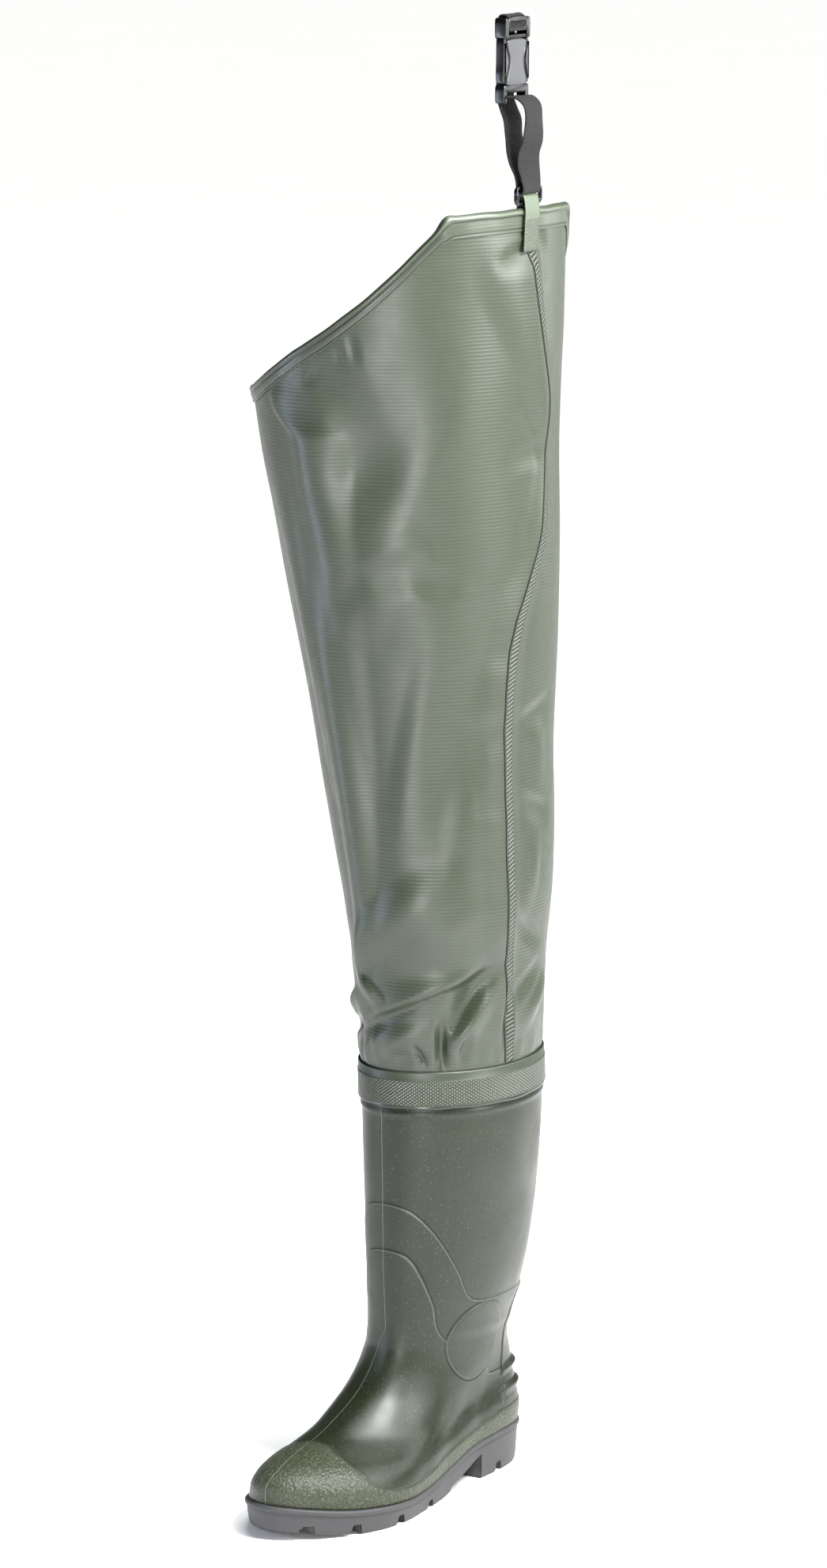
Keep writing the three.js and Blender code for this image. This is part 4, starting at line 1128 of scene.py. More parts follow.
# The folded hem: (out, up) from the fabric's edge, over the bead and down inside
HEM_SECTION = (
    (0.25, -HEM_DROP),
    (0.9, -HEM_DROP - 0.1),
    (1.25, -HEM_DROP + 0.4),
    (1.3, -HEM_DROP + 1.0),
    (1.05, -HEM_DROP + 1.8),
    (1.2, -HEM_DROP + 2.8),
    (1.3, -6.0),
    (1.25, -3.0),
    (1.15, -1.2),
    (1.25, -0.5),
    (1.9, 0.1),
    (2.3, 1.0),
    (2.4, 2.0),
    (2.2, 3.2),
    (1.5, 4.4),
    (0.3, 5.3),
    (-1.0, 5.4),
    (-2.2, 4.8),
    (-2.9, 3.6),
    (-3.0, 2.2),
    (-2.7, 1.0),
    (-2.2, 0.1),
    (-2.1, -1.0),
    (-2.2, -5.0),
    (-2.2, -HEM_DROP + 1.5),
    (-1.9, -HEM_DROP),
    (-1.25, -HEM_DROP),
    (-1.2, -3.0),
    (-1.1, 0.3),
    (0.15, 0.3),
    (0.25, -3.0),
)
# Folded corners of the collar, on both sides of the seam: angle, height and half width
NUBS = ((126.5, 3.4, 4.5), (59.5, 3.0, 4.0))


def make_collar_hem():
    """Section carried round the collar's edge, with a small folded lump at each corner."""
    columns = 640
    angle = np.linspace(0, 2 * math.pi, columns, endpoint=False)
    edge = collar_share(angle)
    slanted = ramp(np.abs(turned(angle, 93)), math.radians(32), math.radians(35))
    rows = []
    for out, up in HEM_SECTION:
        lump = np.zeros(columns)
        for centre, tall, broad in NUBS:
            lump = lump + tall * np.exp(-((turned(angle, centre) * 105.0 / broad) ** 2))
        top = np.clip((up + 1.0) / 6.0, 0, 1)
        wave = 0.25 * np.sin(23 * angle) * np.sin(7 * angle + 1.0)
        height = up * np.where(up < 0, 1 - 0.3 * slanted, 1) + lump * top + wave * (up > 0)
        level = np.full(columns, out) * (1 + 0.18 * lump * top) + 0.12 * np.sin(31 * angle)
        if out > 0.5:
            level = level + 0.9 * slanted * math.exp(-(((up + 3.0) / 3.0) ** 2))
        share = edge + height / (LEG_TOP - SHAFT_TOP)
        rows.append(leg_point(angle, share, level))
    points = np.stack(rows)
    wide = np.append(angle, 2 * math.pi)
    across = np.broadcast_to(wide * 105.0, (len(HEM_SECTION) + 1, columns + 1))
    up = np.array([pair[1] for pair in HEM_SECTION] + [HEM_SECTION[0][1]], float)
    up = np.broadcast_to(up[:, None], across.shape)
    inside = np.array([1.0 if out < -1.0 else 0.0 for out, up_ in HEM_SECTION])
    inside = np.repeat(inside, columns)
    # slanted also tells the hem's material where to paint shade
    fields = {"inside": inside, "slanted": np.tile(slanted, len(HEM_SECTION))}
    faces = [grid_faces(len(HEM_SECTION), columns, wrap=True)]
    return make_piece("hem_folded", points, faces, uv=[grid_uv(across, up)], fields=fields)


def make_seam_tape():
    """A low flat strip along the seam: across it the lift rises from the fabric to
    0.9 mm within 1.1 mm of each side."""
    rows = 520
    first = (BAND_ABOVE + 1.0) / (LEG_TOP - SHAFT_TOP)
    last = 1 - (LOOP_DROP + 0.5) / (LEG_TOP - SHAFT_TOP)
    share = np.linspace(first, last, rows)
    centre = np.radians(along(SEAM, "angle", share))
    step = fabric_point(centre + 0.02, share, 0.0 * share) - fabric_point(centre - 0.02, share, 0.0 * share)
    turn = 0.04 / np.hypot(step[:, 0], step[:, 1])
    side = SEAM_WIDTH / 2
    profile = ((-side, -0.15), (-side + 0.7, 0.65), (-side + 1.1, 0.9), (-side + 1.7, 0.97),
               (side - 1.7, 0.97), (side - 1.1, 0.9), (side - 0.7, 0.65), (side, -0.15))
    columns = []
    for place, lift in profile:
        columns.append(fabric_point(centre + place * turn, share, np.full(rows, lift)))
    points = np.stack(columns, 1)
    count = len(profile)
    up = leg_height(share)
    places = np.array([pair[0] for pair in profile] + [profile[0][0]])
    across, tall = np.meshgrid(places, up)
    ends = [np.arange(count)[None, ::-1], (np.arange(count) + (rows - 1) * count)[None, :]]
    faces = [grid_faces(rows, count)] + ends
    return make_piece("seam_tape_welded", points, faces, uv=[grid_uv(across, tall)])


# Where the strap's plane meets the collar, as in the part
def seam_place(drop):
    """Point of the fabric at the collar's seam, a drop below its edge."""
    angle = np.array([math.radians(COLLAR_SEAM)])
    share = collar_share(angle) - drop / (LEG_TOP - SHAFT_TOP)
    return leg_point(angle, share, np.zeros(1))[0]


SEAM_TOP = seam_place(0.0)
SEAM_FOOT = seam_place(LOOP_DROP)
STRAP_Y = SEAM_TOP[1]
STRAP_X = SEAM_TOP[0] - FABRIC_WALL / 2
STRAP_Z = SEAM_TOP[2]
LOW_BAR = STRAP_Z + CLEARANCE + 5.4 + RING_BAR / 2 + 1.2
HIGH_BAR = LOW_BAR + RING_HEIGHT - RING_BAR
BUCKLE_BACK = STRAP_X - STRAP_SWAY
BUCKLE_FRONT = BUCKLE_BACK + BUCKLE_THICKNESS
BUCKLE_FOOT = HIGH_BAR + STRAP_RISE
BUCKLE_HEAD = BUCKLE_FOOT + BUCKLE_LENGTH

STRAP_FRONT = (
    (-0.218, 1.076, 0),
    (0.15, 0.985, 0),
    (0.25, 0.815, 0),
    (0.2, 0.57, 6),
    (0.025, 0.41, 12),
    (0.02, 0.265, 12),
    (0.09, 0.135, 5),
)
STRAP_BEHIND = (
    (-0.213, 0.135, -3),
    (-0.426, 0.3, -6),
    (-0.594, 0.45, -3),
    (-0.663, 0.605, 0),
    (-0.723, 0.79, 0),
    (-0.92, 0.925, 0),
)


def curve_through(points, each):
    """Centripetal Catmull-Rom curve: the tangents at a span's ends weigh the three
    neighbouring chords by the square roots of their lengths."""
    points = np.asarray(points, float)
    first = 2 * points[0] - points[1]
    last = 2 * points[-1] - points[-2]
    p = np.concatenate([first[None], points, last[None]])
    span = np.sqrt(np.linalg.norm(np.diff(p, axis=0), axis=1))
    d0 = span[:-2, None]
    d1 = span[1:-1, None]
    d2 = span[2:, None]
    p0, p1, p2, p3 = p[:-3], p[1:-2], p[2:-1], p[3:]
    m1 = ((p1 - p0) / d0 - (p2 - p0) / (d0 + d1) + (p2 - p1) / d1) * d1
    m2 = ((p2 - p1) / d1 - (p3 - p1) / (d1 + d2) + (p3 - p2) / d2) * d1
    t = (np.arange(each) / each)[None, :, None]
    p1, p2, m1, m2 = (value[:, None, :] for value in (p1, p2, m1, m2))
    curve = p1 * (2 * t**3 - 3 * t**2 + 1) + m1 * (t**3 - 2 * t**2 + t)
    curve = curve + p2 * (3 * t**2 - 2 * t**3) + m2 * (t**3 - t**2)
    return np.concatenate([curve.reshape(-1, points.shape[1]), points[-1:]])


def make_ribbon(name, path, width, thickness, each, narrow=None, wave=0.0):
    """Flat strip along a path of (x, z, twist) in the strap's plane. Its section is a
    rectangle with round edges, carried square to the path and turned by the twist."""
    path = [(point[0], point[1], point[2] if len(point) > 2 else 0.0) for point in path]
    curve = curve_through(path, each)
    heading = np.gradient(curve[:, :2], axis=0)
    heading = heading / np.linalg.norm(heading, axis=1, keepdims=True)
    twist = np.radians(curve[:, 2])
    level = np.stack([heading[:, 0], np.zeros(len(curve)), heading[:, 1]], -1)
    side = np.array([0.0, 1.0, 0.0])
    square = np.cross(level, side)
    across = np.cos(twist)[:, None] * side + np.sin(twist)[:, None] * square
    out = np.cross(across, level)
    place = np.stack([curve[:, 0], np.full(len(curve), STRAP_Y), curve[:, 1]], -1)
    run = np.concatenate([[0], np.cumsum(np.linalg.norm(np.diff(place, axis=0), axis=1))])
    section = []
    flat = np.linspace(-0.5, 0.5, 9)
    for t in flat:
        section.append((t * (width - thickness * 0.6), -thickness / 2))
    section.append((width / 2, -thickness * 0.2))
    section.append((width / 2, thickness * 0.2))
    for t in flat[::-1]:
        section.append((t * (width - thickness * 0.6), thickness / 2))
    section.append((-width / 2, thickness * 0.2))
    section.append((-width / 2, -thickness * 0.2))
    slim = np.ones(len(curve)) if narrow is None else narrow(run / run[-1])
    columns = []
    for a, b in section:
        ripple = wave * np.sin(run * 0.21 + a * 0.08) * (a / width) ** 2 * 4
        columns.append(place + across * (a * slim)[:, None] + out * (b + ripple)[:, None])
    points = np.stack(columns, 1)
    rows, count = points.shape[:2]
    girth = np.array([a for a, b in section] + [section[0][0]])
    face_side = np.array([1.0 if b > 0 else -1.0 for a, b in section])
    u, v = np.meshgrid(girth, run)
    ends = [np.arange(count)[None, ::-1], (np.arange(count) + (rows - 1) * count)[None, :]]
    faces = [grid_faces(rows, count)] + ends
    fields = {"face_side": np.tile(face_side, rows)}
    return make_piece(name, points, faces, uv=[grid_uv(u, v)], fields=fields)


def make_belt_loop():
    """The part's loop of folded fabric: up outside the collar, over the ring's low bar
    and down inside."""
    outside = STRAP_X + FABRIC_WALL / 2 + 1.3 + 2 * CLEARANCE + LOOP_THICKNESS / 2 + 0.4
    inside = STRAP_X - FABRIC_WALL / 2 - 2 * CLEARANCE - LOOP_THICKNESS / 2 - 0.9
    turn = RING_BAR / 2 + CLEARANCE + LOOP_THICKNESS / 2 + 0.2
    lean = SEAM_TOP[0] - SEAM_FOOT[0]
    clear = BEAD + LOOP_THICKNESS / 2 + 0.4
    slack = 3.4
    path = (
        (outside - lean - 0.5, STRAP_Z - LOOP_DROP),
        (outside - lean * 0.4, STRAP_Z - HEM_DROP),
        (outside + 0.2, STRAP_Z - 3),
        (STRAP_X + clear + 0.3, STRAP_Z + 2.5),
        (STRAP_X + turn, LOW_BAR + slack - 0.3),
        (STRAP_X + turn * 0.72, LOW_BAR + slack + turn * 0.72),
        (STRAP_X, LOW_BAR + slack + turn),
        (STRAP_X - turn * 0.72, LOW_BAR + slack + turn * 0.72),
        (STRAP_X - turn, LOW_BAR + slack - 0.3),
        (STRAP_X - clear - 0.3, STRAP_Z + 2.5),
        (inside - 0.6, STRAP_Z - 3),
        (inside - lean * 0.4, STRAP_Z - HEM_DROP),
        (inside - lean, STRAP_Z - LOOP_DROP),
    )
    return make_ribbon("belt_loop_folded", path, LOOP_WIDTH, LOOP_THICKNESS, 8)


def make_ring():
    """Round bar carried along a rectangle with round corners."""
    half_long = (RING_LENGTH - RING_BAR) / 2
    half_high = (RING_HEIGHT - RING_BAR) / 2
    centre = (LOW_BAR + HIGH_BAR) / 2
    rows = []
    corners = ((1, -1), (1, 1), (-1, 1), (-1, -1))
    for quarter, (sy, sz) in enumerate(corners):
        a = math.pi / 2 * (quarter - 1 + np.linspace(0, 1, 13))
        b = np.linspace(0, 2 * math.pi, 20, endpoint=False)
        a, b = np.meshgrid(a, b, indexing="ij")
        reach = RING_CORNER + RING_BAR / 2 * np.cos(b)
        x = STRAP_X + RING_BAR / 2 * np.sin(b)
        y = STRAP_Y + sy * (half_long - RING_CORNER) + np.cos(a) * reach
        z = centre + sz * (half_high - RING_CORNER) + np.sin(a) * reach
        rows.append(np.stack([x, y, z], -1))
    points = np.concatenate(rows)
    return make_piece("ring_bent", points, [grid_faces(len(points), 20, wrap=True)])


def make_strap():
    """Webbing from the buckle's low bar down in front, under the ring's high bar, up
    behind the buckle and over its top bar."""
    turn = RING_BAR / 2 + CLEARANCE + WEBBING_THICKNESS / 2 + 0.2
    behind = BUCKLE_BACK - WEBBING_THICKNESS / 2 - CLEARANCE
    foot = 2.8 * WEBBING_THICKNESS
    slack = 1.8
    z = HIGH_BAR

    def placed(rows):
        return [(STRAP_X + out * STRAP_SWAY, z + up * STRAP_RISE, turned_by) for out, up, turned_by in rows]

    path = [
        (BUCKLE_BACK + 0.42 * BUCKLE_THICKNESS, BUCKLE_FOOT + foot),
        (BUCKLE_FRONT - 0.1 * BUCKLE_THICKNESS, BUCKLE_FOOT + foot),
        *placed(STRAP_FRONT),
        (STRAP_X + turn, z - 1),
        (STRAP_X + turn * 0.72, z - slack - turn * 0.72),
        (STRAP_X, z - slack - turn),
        (STRAP_X - turn * 0.72, z - slack - turn * 0.72),
        (STRAP_X - turn, z - 1),
        *placed(STRAP_BEHIND),
        (behind, BUCKLE_FOOT + 3),
        (behind, BUCKLE_FOOT + 0.31 * BUCKLE_LENGTH),
        (behind, BUCKLE_HEAD - 12),
        (behind + 0.1, BUCKLE_HEAD - 3),
        (behind + 2.4, BUCKLE_HEAD + 1.2),
        (BUCKLE_BACK + 5, BUCKLE_HEAD + 1.6),
        (BUCKLE_FRONT - 1.2, BUCKLE_HEAD),
        (BUCKLE_FRONT + 0.5, BUCKLE_HEAD - 4),
        (BUCKLE_FRONT + 0.4, BUCKLE_HEAD - 10),
    ]
    return make_ribbon("strap_webbing", path, WEBBING_WIDTH, WEBBING_THICKNESS, 14, wave=0.35)


def rounded(outline, each=6):
    """Closed outline of (across, up) with its corners eased: two rounds of cutting each
    corner at a quarter of its sides."""
    points = np.asarray(outline, float)
    for _ in range(3):
        following = np.roll(points, -1, axis=0)
        first = points * 0.8 + following * 0.2
        second = points * 0.2 + following * 0.8
        points = np.stack([first, second], 1).reshape(-1, 2)
    return points


def plate(outline, back, front, edge=0.9, dome=0.0):
    """Points and faces of a plate with a quarter-round edge: the outline moves in by
    edge (1 - cos) as its height goes up by edge sin. Dome is not used."""
    flat = rounded(outline)
    if np.sum(np.cross(flat, np.roll(flat, -1, axis=0))) < 0:
        flat = flat[::-1]
    step = np.roll(flat, -1, axis=0) - np.roll(flat, 1, axis=0)
    inward = np.stack([-step[:, 1], step[:, 0]], -1)
    inward = inward / np.linalg.norm(inward, axis=1, keepdims=True)
    rows = []
    turns = np.linspace(0, math.pi / 2, 5)
    for t in turns:
        rows.append((edge * (1 - math.sin(t)), back + edge * (1 - math.cos(t))))
    for t in turns[::-1]:
        rows.append((edge * (1 - math.sin(t)), front - edge * (1 - math.cos(t))))
    rings = []
    for inset, x in rows:
        place = flat + inward * inset
        rings.append(np.stack([np.full(len(flat), x), place[:, 0], place[:, 1]], -1))
    count = len(flat)
    points = np.concatenate(rings)
    points[:, 0] += BUCKLE_BACK
    points[:, 1] += STRAP_Y
    points[:, 2] += BUCKLE_FOOT
    faces = [grid_faces(len(rows), count)]
    caps = [np.arange(count)[None, ::-1], (np.arange(count) + (len(rows) - 1) * count)[None, :]]
    return points, faces, caps


def join_plates(name, plates):
    """One mesh of several plates."""
    points = []
    faces = []
    start = 0
    for place, sides, caps in plates:
        points.append(place)
        faces.extend(part + start for part in sides + caps)
        start += len(place)
    return make_piece(name, np.concatenate(points), faces)


def flip_side(outline):
    """The same outline on the other side of the buckle's middle line."""
    return tuple((-across, up) for across, up in outline)


def buckle_outlines():
    """Outlines (across, up) of the buckle's plates from its width and length."""
    inner = WEBBING_WIDTH / 2 + 0.6
    outer = BUCKLE_WIDTH / 2
    head = BUCKLE_LENGTH
    return {
        "panel": ((-12.2, 48), (-11.4, 42), (-8.6, 36), (-8.2, 31), (-9.6, 25), (-12.2, 18),
                  (-12.6, 13), (12.6, 13), (12.2, 18), (9.6, 25), (8.2, 31), (8.6, 36),
                  (11.4, 42), (12.2, 48)),
        "low_rail": ((inner, 1.5), (inner + 1.4, 0), (outer - 1, 0), (outer, 2), (outer, 12),
                     (outer - 1.5, 14), (inner, 14)),
        "low_bar": ((-outer + 1, 7.6), (outer - 1, 7.6), (outer - 1, 14), (-outer + 1, 14)),
        "arm": ((outer, 50), (outer + 0.2, 30), (outer + 0.7, 22), (outer + 0.3, 16),
                (outer - 1.2, 14.3), (12.9, 14.3), (12.9, 18.4), (10, 25.3), (8.6, 31),
                (9.2, 35.6), (12, 41.8), (12.9, 48), (12.9, 50)),
        "arm_ridge": ((outer - 1.0, 47), (outer - 0.9, 30), (outer - 0.5, 22), (14.6, 17),
                      (13.9, 18.6), (12.0, 25.3), (10.6, 31), (11.2, 35.6), (13.6, 41.8)),
        "high_rail": ((inner, 48.3), (outer, 48.3), (outer, head - 1.5), (outer - 1.5, head),
                      (inner, head)),
        "neck": ((-outer + 0.5, 48.3), (outer - 0.5, 48.3), (outer - 0.5, 51.5),
                 (-outer + 0.5, 51.5)),
        "high_bar": ((-inner - 1, 56), (inner + 1, 56), (inner + 1, head - 2),
                     (-inner - 1, head - 2)),
        "hood": ((-inner - 0.6, 54.6), (inner + 0.6, 54.6), (inner + 0.6, head + 1.2),
                 (-inner - 0.6, head + 1.2)),
    }


def make_socket_panel():
    """The waisted grey panel."""
    shape = buckle_outlines()
    return join_plates("buckle_panel_grey", [plate(shape["panel"], 0, BUCKLE_THICKNESS, 1.0)])


def make_socket_frame():
    """Low rails and low bar of the socket."""
    shape = buckle_outlines()
    thick = BUCKLE_THICKNESS
    plates = [
        plate(shape["low_rail"], 0.4, thick - 0.6, 0.7),
        plate(flip_side(shape["low_rail"]), 0.4, thick - 0.6, 0.7),
        plate(shape["low_bar"], 1.4, thick - 0.4, 0.9),
    ]
    return join_plates("buckle_foot_black", plates)


def make_tongue():
    """Top frame, both arms with their raised ridges, and the hood over the webbing with
    its row of ten teeth."""
    shape = buckle_outlines()
    thick = BUCKLE_THICKNESS
    inner = WEBBING_WIDTH / 2
    plates = [
        plate(shape["high_rail"], 0, thick + 1, 0.8),
        plate(flip_side(shape["high_rail"]), 0, thick + 1, 0.8),
        plate(shape["neck"], 0, thick - 0.2, 0.8),
        plate(shape["high_bar"], 1, thick - 2, 0.9),
        plate(shape["arm"], 1.2, thick - 0.8, 1.1),
        plate(flip_side(shape["arm"]), 1.2, thick - 0.8, 1.1),
        plate(shape["arm_ridge"], thick - 2.4, thick + 0.2, 0.7),
        plate(flip_side(shape["arm_ridge"]), thick - 2.4, thick + 0.2, 0.7),
        plate(shape["hood"], thick - 1.6, thick + 1.1, 0.7),
    ]
    for middle in np.linspace(2 - inner, inner - 2, 10):
        tooth = ((middle - 0.6, 57), (middle + 0.6, 57), (middle + 0.6, 61.8),
                 (middle - 0.6, 61.8))
        plates.append(plate(tooth, thick, thick + 2.2, 0.55))
    return join_plates("buckle_tongue_black", plates)


# Materials
def linear(code):
    """sRGB hex colour to linear RGBA."""
    parts = [int(code[k : k + 2], 16) / 255 for k in (1, 3, 5)]
    parts = [c / 12.92 if c <= 0.04045 else ((c + 0.055) / 1.055) ** 2.4 for c in parts]
    return (*parts, 1.0)


def add_node(tree, kind, links=None, out=0, **settings):
    """Adds a node, with its settings and with each input given a value or linked to
    another node's output, and returns one of its outputs, or all of them for None."""
    node = tree.nodes.new("ShaderNode" + kind)
    for key, value in settings.items():
        setattr(node, key, value)
    for key, value in (links or {}).items():
        if isinstance(value, bpy.types.NodeSocket):
            tree.links.new(value, node.inputs[key])
        else:
            node.inputs[key].default_value = value
    return node.outputs if out is None else node.outputs[out]


def start_material(name, roughness, **sockets):
    """New material whose plain values stand on the shader's own sockets."""
    material = bpy.data.materials.new(name)
    material.use_nodes = True
    tree = material.node_tree
    shader = tree.nodes["Principled BSDF"]
    shader.inputs["Roughness"].default_value = roughness
    for key, value in sockets.items():
        shader.inputs[key.replace("_", " ")].default_value = value
    place = add_node(tree, "TexCoord", out="Object")
    return material, tree, shader, place


def surface_lengths(tree):
    """Lengths in metres along and up a piece's own surface."""
    surface = add_node(tree, "UVMap", uv_map="surface")
    across, up, _ = add_node(tree, "SeparateXYZ", {0: surface}, out=None)
    return across, up


def painted(tree, shader, *coats):
    """Colour in coats: the first is all over, and each later one, a mask, a share and a
    colour, covers what is under it by its mask times its share."""
    tone = linear(coats[0])
    for mask, share, color in coats[1:]:
        cover = add_node(tree, "Math", {0: mask, 1: share}, operation="MULTIPLY", use_clamp=True)
        layer = {0: cover, 6: tone, 7: linear(color)}
        tone = add_node(tree, "Mix", layer, out=2, data_type="RGBA")
    tree.links.new(tone, shader.inputs["Base Color"])


def embossed(tree, shader, *layers):
    """Relief as the sum of its layers, each a pattern times a height in millimetres."""
    height = 0.0
    for pattern, rise in layers:
        height = add_node(tree, "Math", {0: pattern, 1: rise, 2: height}, operation="MULTIPLY_ADD")
    normal = add_node(tree, "Bump", {"Height": height, "Distance": 0.001, "Strength": 1.0})
    tree.links.new(normal, shader.inputs["Normal"])


def glossed(tree, shader, pattern, low, high):
    """Roughness between two values as a pattern goes from 0.3 to 0.7."""
    rough = add_node(tree, "MapRange", {0: pattern, 1: 0.3, 2: 0.7, 3: low, 4: high})
    tree.links.new(rough, shader.inputs["Roughness"])


def waves(tree, length, pitch):
    """Sine that repeats at a pitch in metres."""
    turns = add_node(tree, "Math", {0: length, 1: 2 * math.pi / pitch}, operation="MULTIPLY")
    return add_node(tree, "Math", {0: turns}, operation="SINE")


def edge_line(tree, distance, half):
    """1 where a signed distance is 0, falling to 0 at a half width from there."""
    away = add_node(tree, "Math", {0: distance}, operation="ABSOLUTE")
    return add_node(tree, "MapRange", {0: away, 1: half * 0.3, 2: half, 3: 1.0, 4: 0.0})


def diamonds(tree, across, up, wide, high):
    """Pyramids of a knurl: the product of two sines along the slanted rows, so 1 on each
    point and 0 in the grooves between them."""
    stretched = add_node(tree, "Math", {0: up, 1: wide / high}, operation="MULTIPLY")
    product = 1.0
    for way in ("ADD", "SUBTRACT"):
        slant = add_node(tree, "Math", {0: across, 1: stretched}, operation=way)
        row = waves(tree, slant, 2 * wide)
        product = add_node(tree, "Math", {0: row, 1: product}, operation="MULTIPLY")
    return add_node(tree, "Math", {0: product}, operation="ABSOLUTE")


def boot_material():
    """Injection-moulded PVC: satin where the mould is smooth, and stippled like leather on
    the toe cap and foxing where it is etched. Light runs softly over it. The grooves round
    its panels are painted dark as painted shade, and pale lines just inside the shin, vamp
    and disc edges and along the foxing's edge are painted highlights."""
    material, tree, shader, place = start_material(
        "moulded_pvc_olive", 0.4, IOR=1.41
    )
    upper = add_node(tree, "Attribute", out="Vector", attribute_name="panel_upper")
    lower = add_node(tree, "Attribute", out="Vector", attribute_name="panel_lower")
    shin, vamp, foxing = add_node(tree, "SeparateXYZ", {0: upper}, out=None)
    counter, disc, parting = add_node(tree, "SeparateXYZ", {0: lower}, out=None)
    stippled = add_node(tree, "MapRange", {0: foxing, 1: 0.0, 2: 1.6})
    cells = add_node(tree, "TexVoronoi", {"Vector": place, "Scale": 420.0})
    pits = add_node(tree, "TexNoise", {"Vector": place, "Scale": 330.0, "Detail": 3.0})
    leather = add_node(tree, "Math", {0: pits, 1: cells}, operation="SUBTRACT")
    leather = add_node(tree, "Math", {0: leather, 1: stippled}, operation="MULTIPLY")
    satin = add_node(tree, "TexNoise", {"Vector": place, "Scale": 1400.0, "Detail": 2.0})
    cloud = add_node(tree, "TexNoise", {"Vector": place, "Scale": 14.0, "Detail": 3.0})
    dust = add_node(tree, "TexNoise", {"Vector": place, "Scale": 900.0, "Detail": 1.0})
    dust = add_node(tree, "MapRange", {0: dust, 1: 0.68, 2: 0.73})
    # painted shade: groove marks the grooves at the panels' edges, which are painted almost black
    groove = 0.0
    for distance, half in ((shin, 0.8), (vamp, 0.8), (counter, 0.9), (disc, 1.3)):
        line = edge_line(tree, distance, half)
        groove = add_node(tree, "Math", {0: groove, 1: line}, operation="MAXIMUM")
    # painted highlight: rim marks a line 1 mm inside the shin, vamp and disc edges, on each step's rounded
    # top, painted pale
    rim = 0.0
    for distance in (shin, vamp, disc):
        beyond = add_node(tree, "Math", {0: distance, 1: 1.0}, operation="SUBTRACT")
        line = edge_line(tree, beyond, 0.7)
        rim = add_node(tree, "Math", {0: rim, 1: line}, operation="MAXIMUM")
    # painted highlight: a pale line along the foxing's step edge, also pressed in as a slight groove
    foxing_groove_and_highlight = edge_line(tree, foxing, 0.9)
    seam = edge_line(tree, parting, 0.45)
    # the groove coat is painted shade; the rim and foxing edge coats are painted highlights
    painted(
        tree, shader, "#12180a", (cloud, 0.5, "#181f0e"), (stippled, 0.5, "#343928"),
        (leather, 0.4, "#777d6e"), (dust, 0.2, "#8b8f81"), (foxing_groove_and_highlight, 0.3, "#2e3228"),
        (groove, 0.9, "#0a0b07"), (rim, 0.22, "#767b6c"), (seam, 0.35, "#8c9182"),
    )
    embossed(
        tree, shader, (leather, 0.5), (satin, 0.02), (groove, -0.5), (foxing_groove_and_highlight, -0.25),
        (seam, 0.15),
    )
    wear = add_node(tree, "TexNoise", {"Vector": place, "Scale": 30.0, "Detail": 4.0})
    wear = add_node(tree, "Math", {0: stippled, 1: 0.3, 2: wear}, operation="MULTIPLY_ADD")
    glossed(tree, shader, wear, 0.34, 0.48)
    return material


def sole_material():
    """Moulded rubber: matte, with a faint bloom from the mould."""
    material, tree, shader, place = start_material("moulded_rubber_grey", 0.62, IOR=1.52)
    cloud = add_node(tree, "TexNoise", {"Vector": place, "Scale": 22.0, "Detail": 4.0})
    fine = add_node(tree, "TexNoise", {"Vector": place, "Scale": 1200.0, "Detail": 2.0})
    soft = add_node(tree, "TexNoise", {"Vector": place, "Scale": 160.0, "Detail": 2.0})
    painted(tree, shader, "#252527", (cloud, 0.6, "#303032"), (fine, 0.2, "#3c3c3e"))
    embossed(tree, shader, (fine, 0.06), (soft, 0.1))
    glossed(tree, shader, cloud, 0.55, 0.7)
    return material


def insole_material():
    """Needled felt: matte fibres with a soft sheen."""
    material, tree, shader, place = start_material(
        "needled_felt", 0.95, IOR=1.5, Sheen_Weight=0.4, Sheen_Roughness=0.5
    )
    fibre = add_node(tree, "TexNoise", {"Vector": place, "Scale": 700.0, "Detail": 4.0})
    tuft = add_node(tree, "TexNoise", {"Vector": place, "Scale": 120.0, "Detail": 3.0})
    painted(tree, shader, "#55544d", (fibre, 0.8, "#807e74"), (tuft, 0.4, "#6b6a62"))
    embossed(tree, shader, (fibre, 0.6), (tuft, 0.5))
    return material


def cloth_ribs(tree, place, across, up):
    """Rib of the coated cloth: rows every 2.8 mm, about five threads each so that they
    show, with a slight wander, and a weaker rib across them."""
    wander = add_node(tree, "TexNoise", {"Vector": place, "Scale": 30.0, "Detail": 2.0})
    row = add_node(tree, "Math", {0: wander, 1: 0.0016, 2: up}, operation="MULTIPLY_ADD")
    ribs = waves(tree, row, 0.0028)
    threads = waves(tree, across, 0.0016)
    return add_node(tree, "Math", {0: threads, 1: 0.15, 2: ribs}, operation="MULTIPLY_ADD")


def fabric_material():
    """Nylon cloth dipped in PVC: satin, with the cloth's ribs showing through. Its inner
    face is darker and smoother."""
    material, tree, shader, place = start_material(
        "coated_nylon_sage", 0.44, IOR=1.5
    )
    across, up = surface_lengths(tree)
    inside = add_node(tree, "Attribute", out="Fac", attribute_name="inside")
    ribs = cloth_ribs(tree, place, across, up)
    lit = add_node(tree, "MapRange", {0: ribs, 1: -0.8, 2: 0.8})
    cloud = add_node(tree, "TexNoise", {"Vector": place, "Scale": 7.0, "Detail": 3.0})
    mottle = add_node(tree, "TexNoise", {"Vector": place, "Scale": 90.0, "Detail": 3.0})
    dust = add_node(tree, "TexNoise", {"Vector": place, "Scale": 1000.0, "Detail": 2.0})
    painted(
        tree, shader, "#252c20", (cloud, 0.5, "#2c3325"), (mottle, 0.25, "#1e241a"),
        (lit, 0.14, "#454e3c"), (inside, 1.0, "#292f23"),
    )
    embossed(tree, shader, (ribs, 0.035), (dust, 0.05))
    glossed(tree, shader, mottle, 0.36, 0.43)
    return material


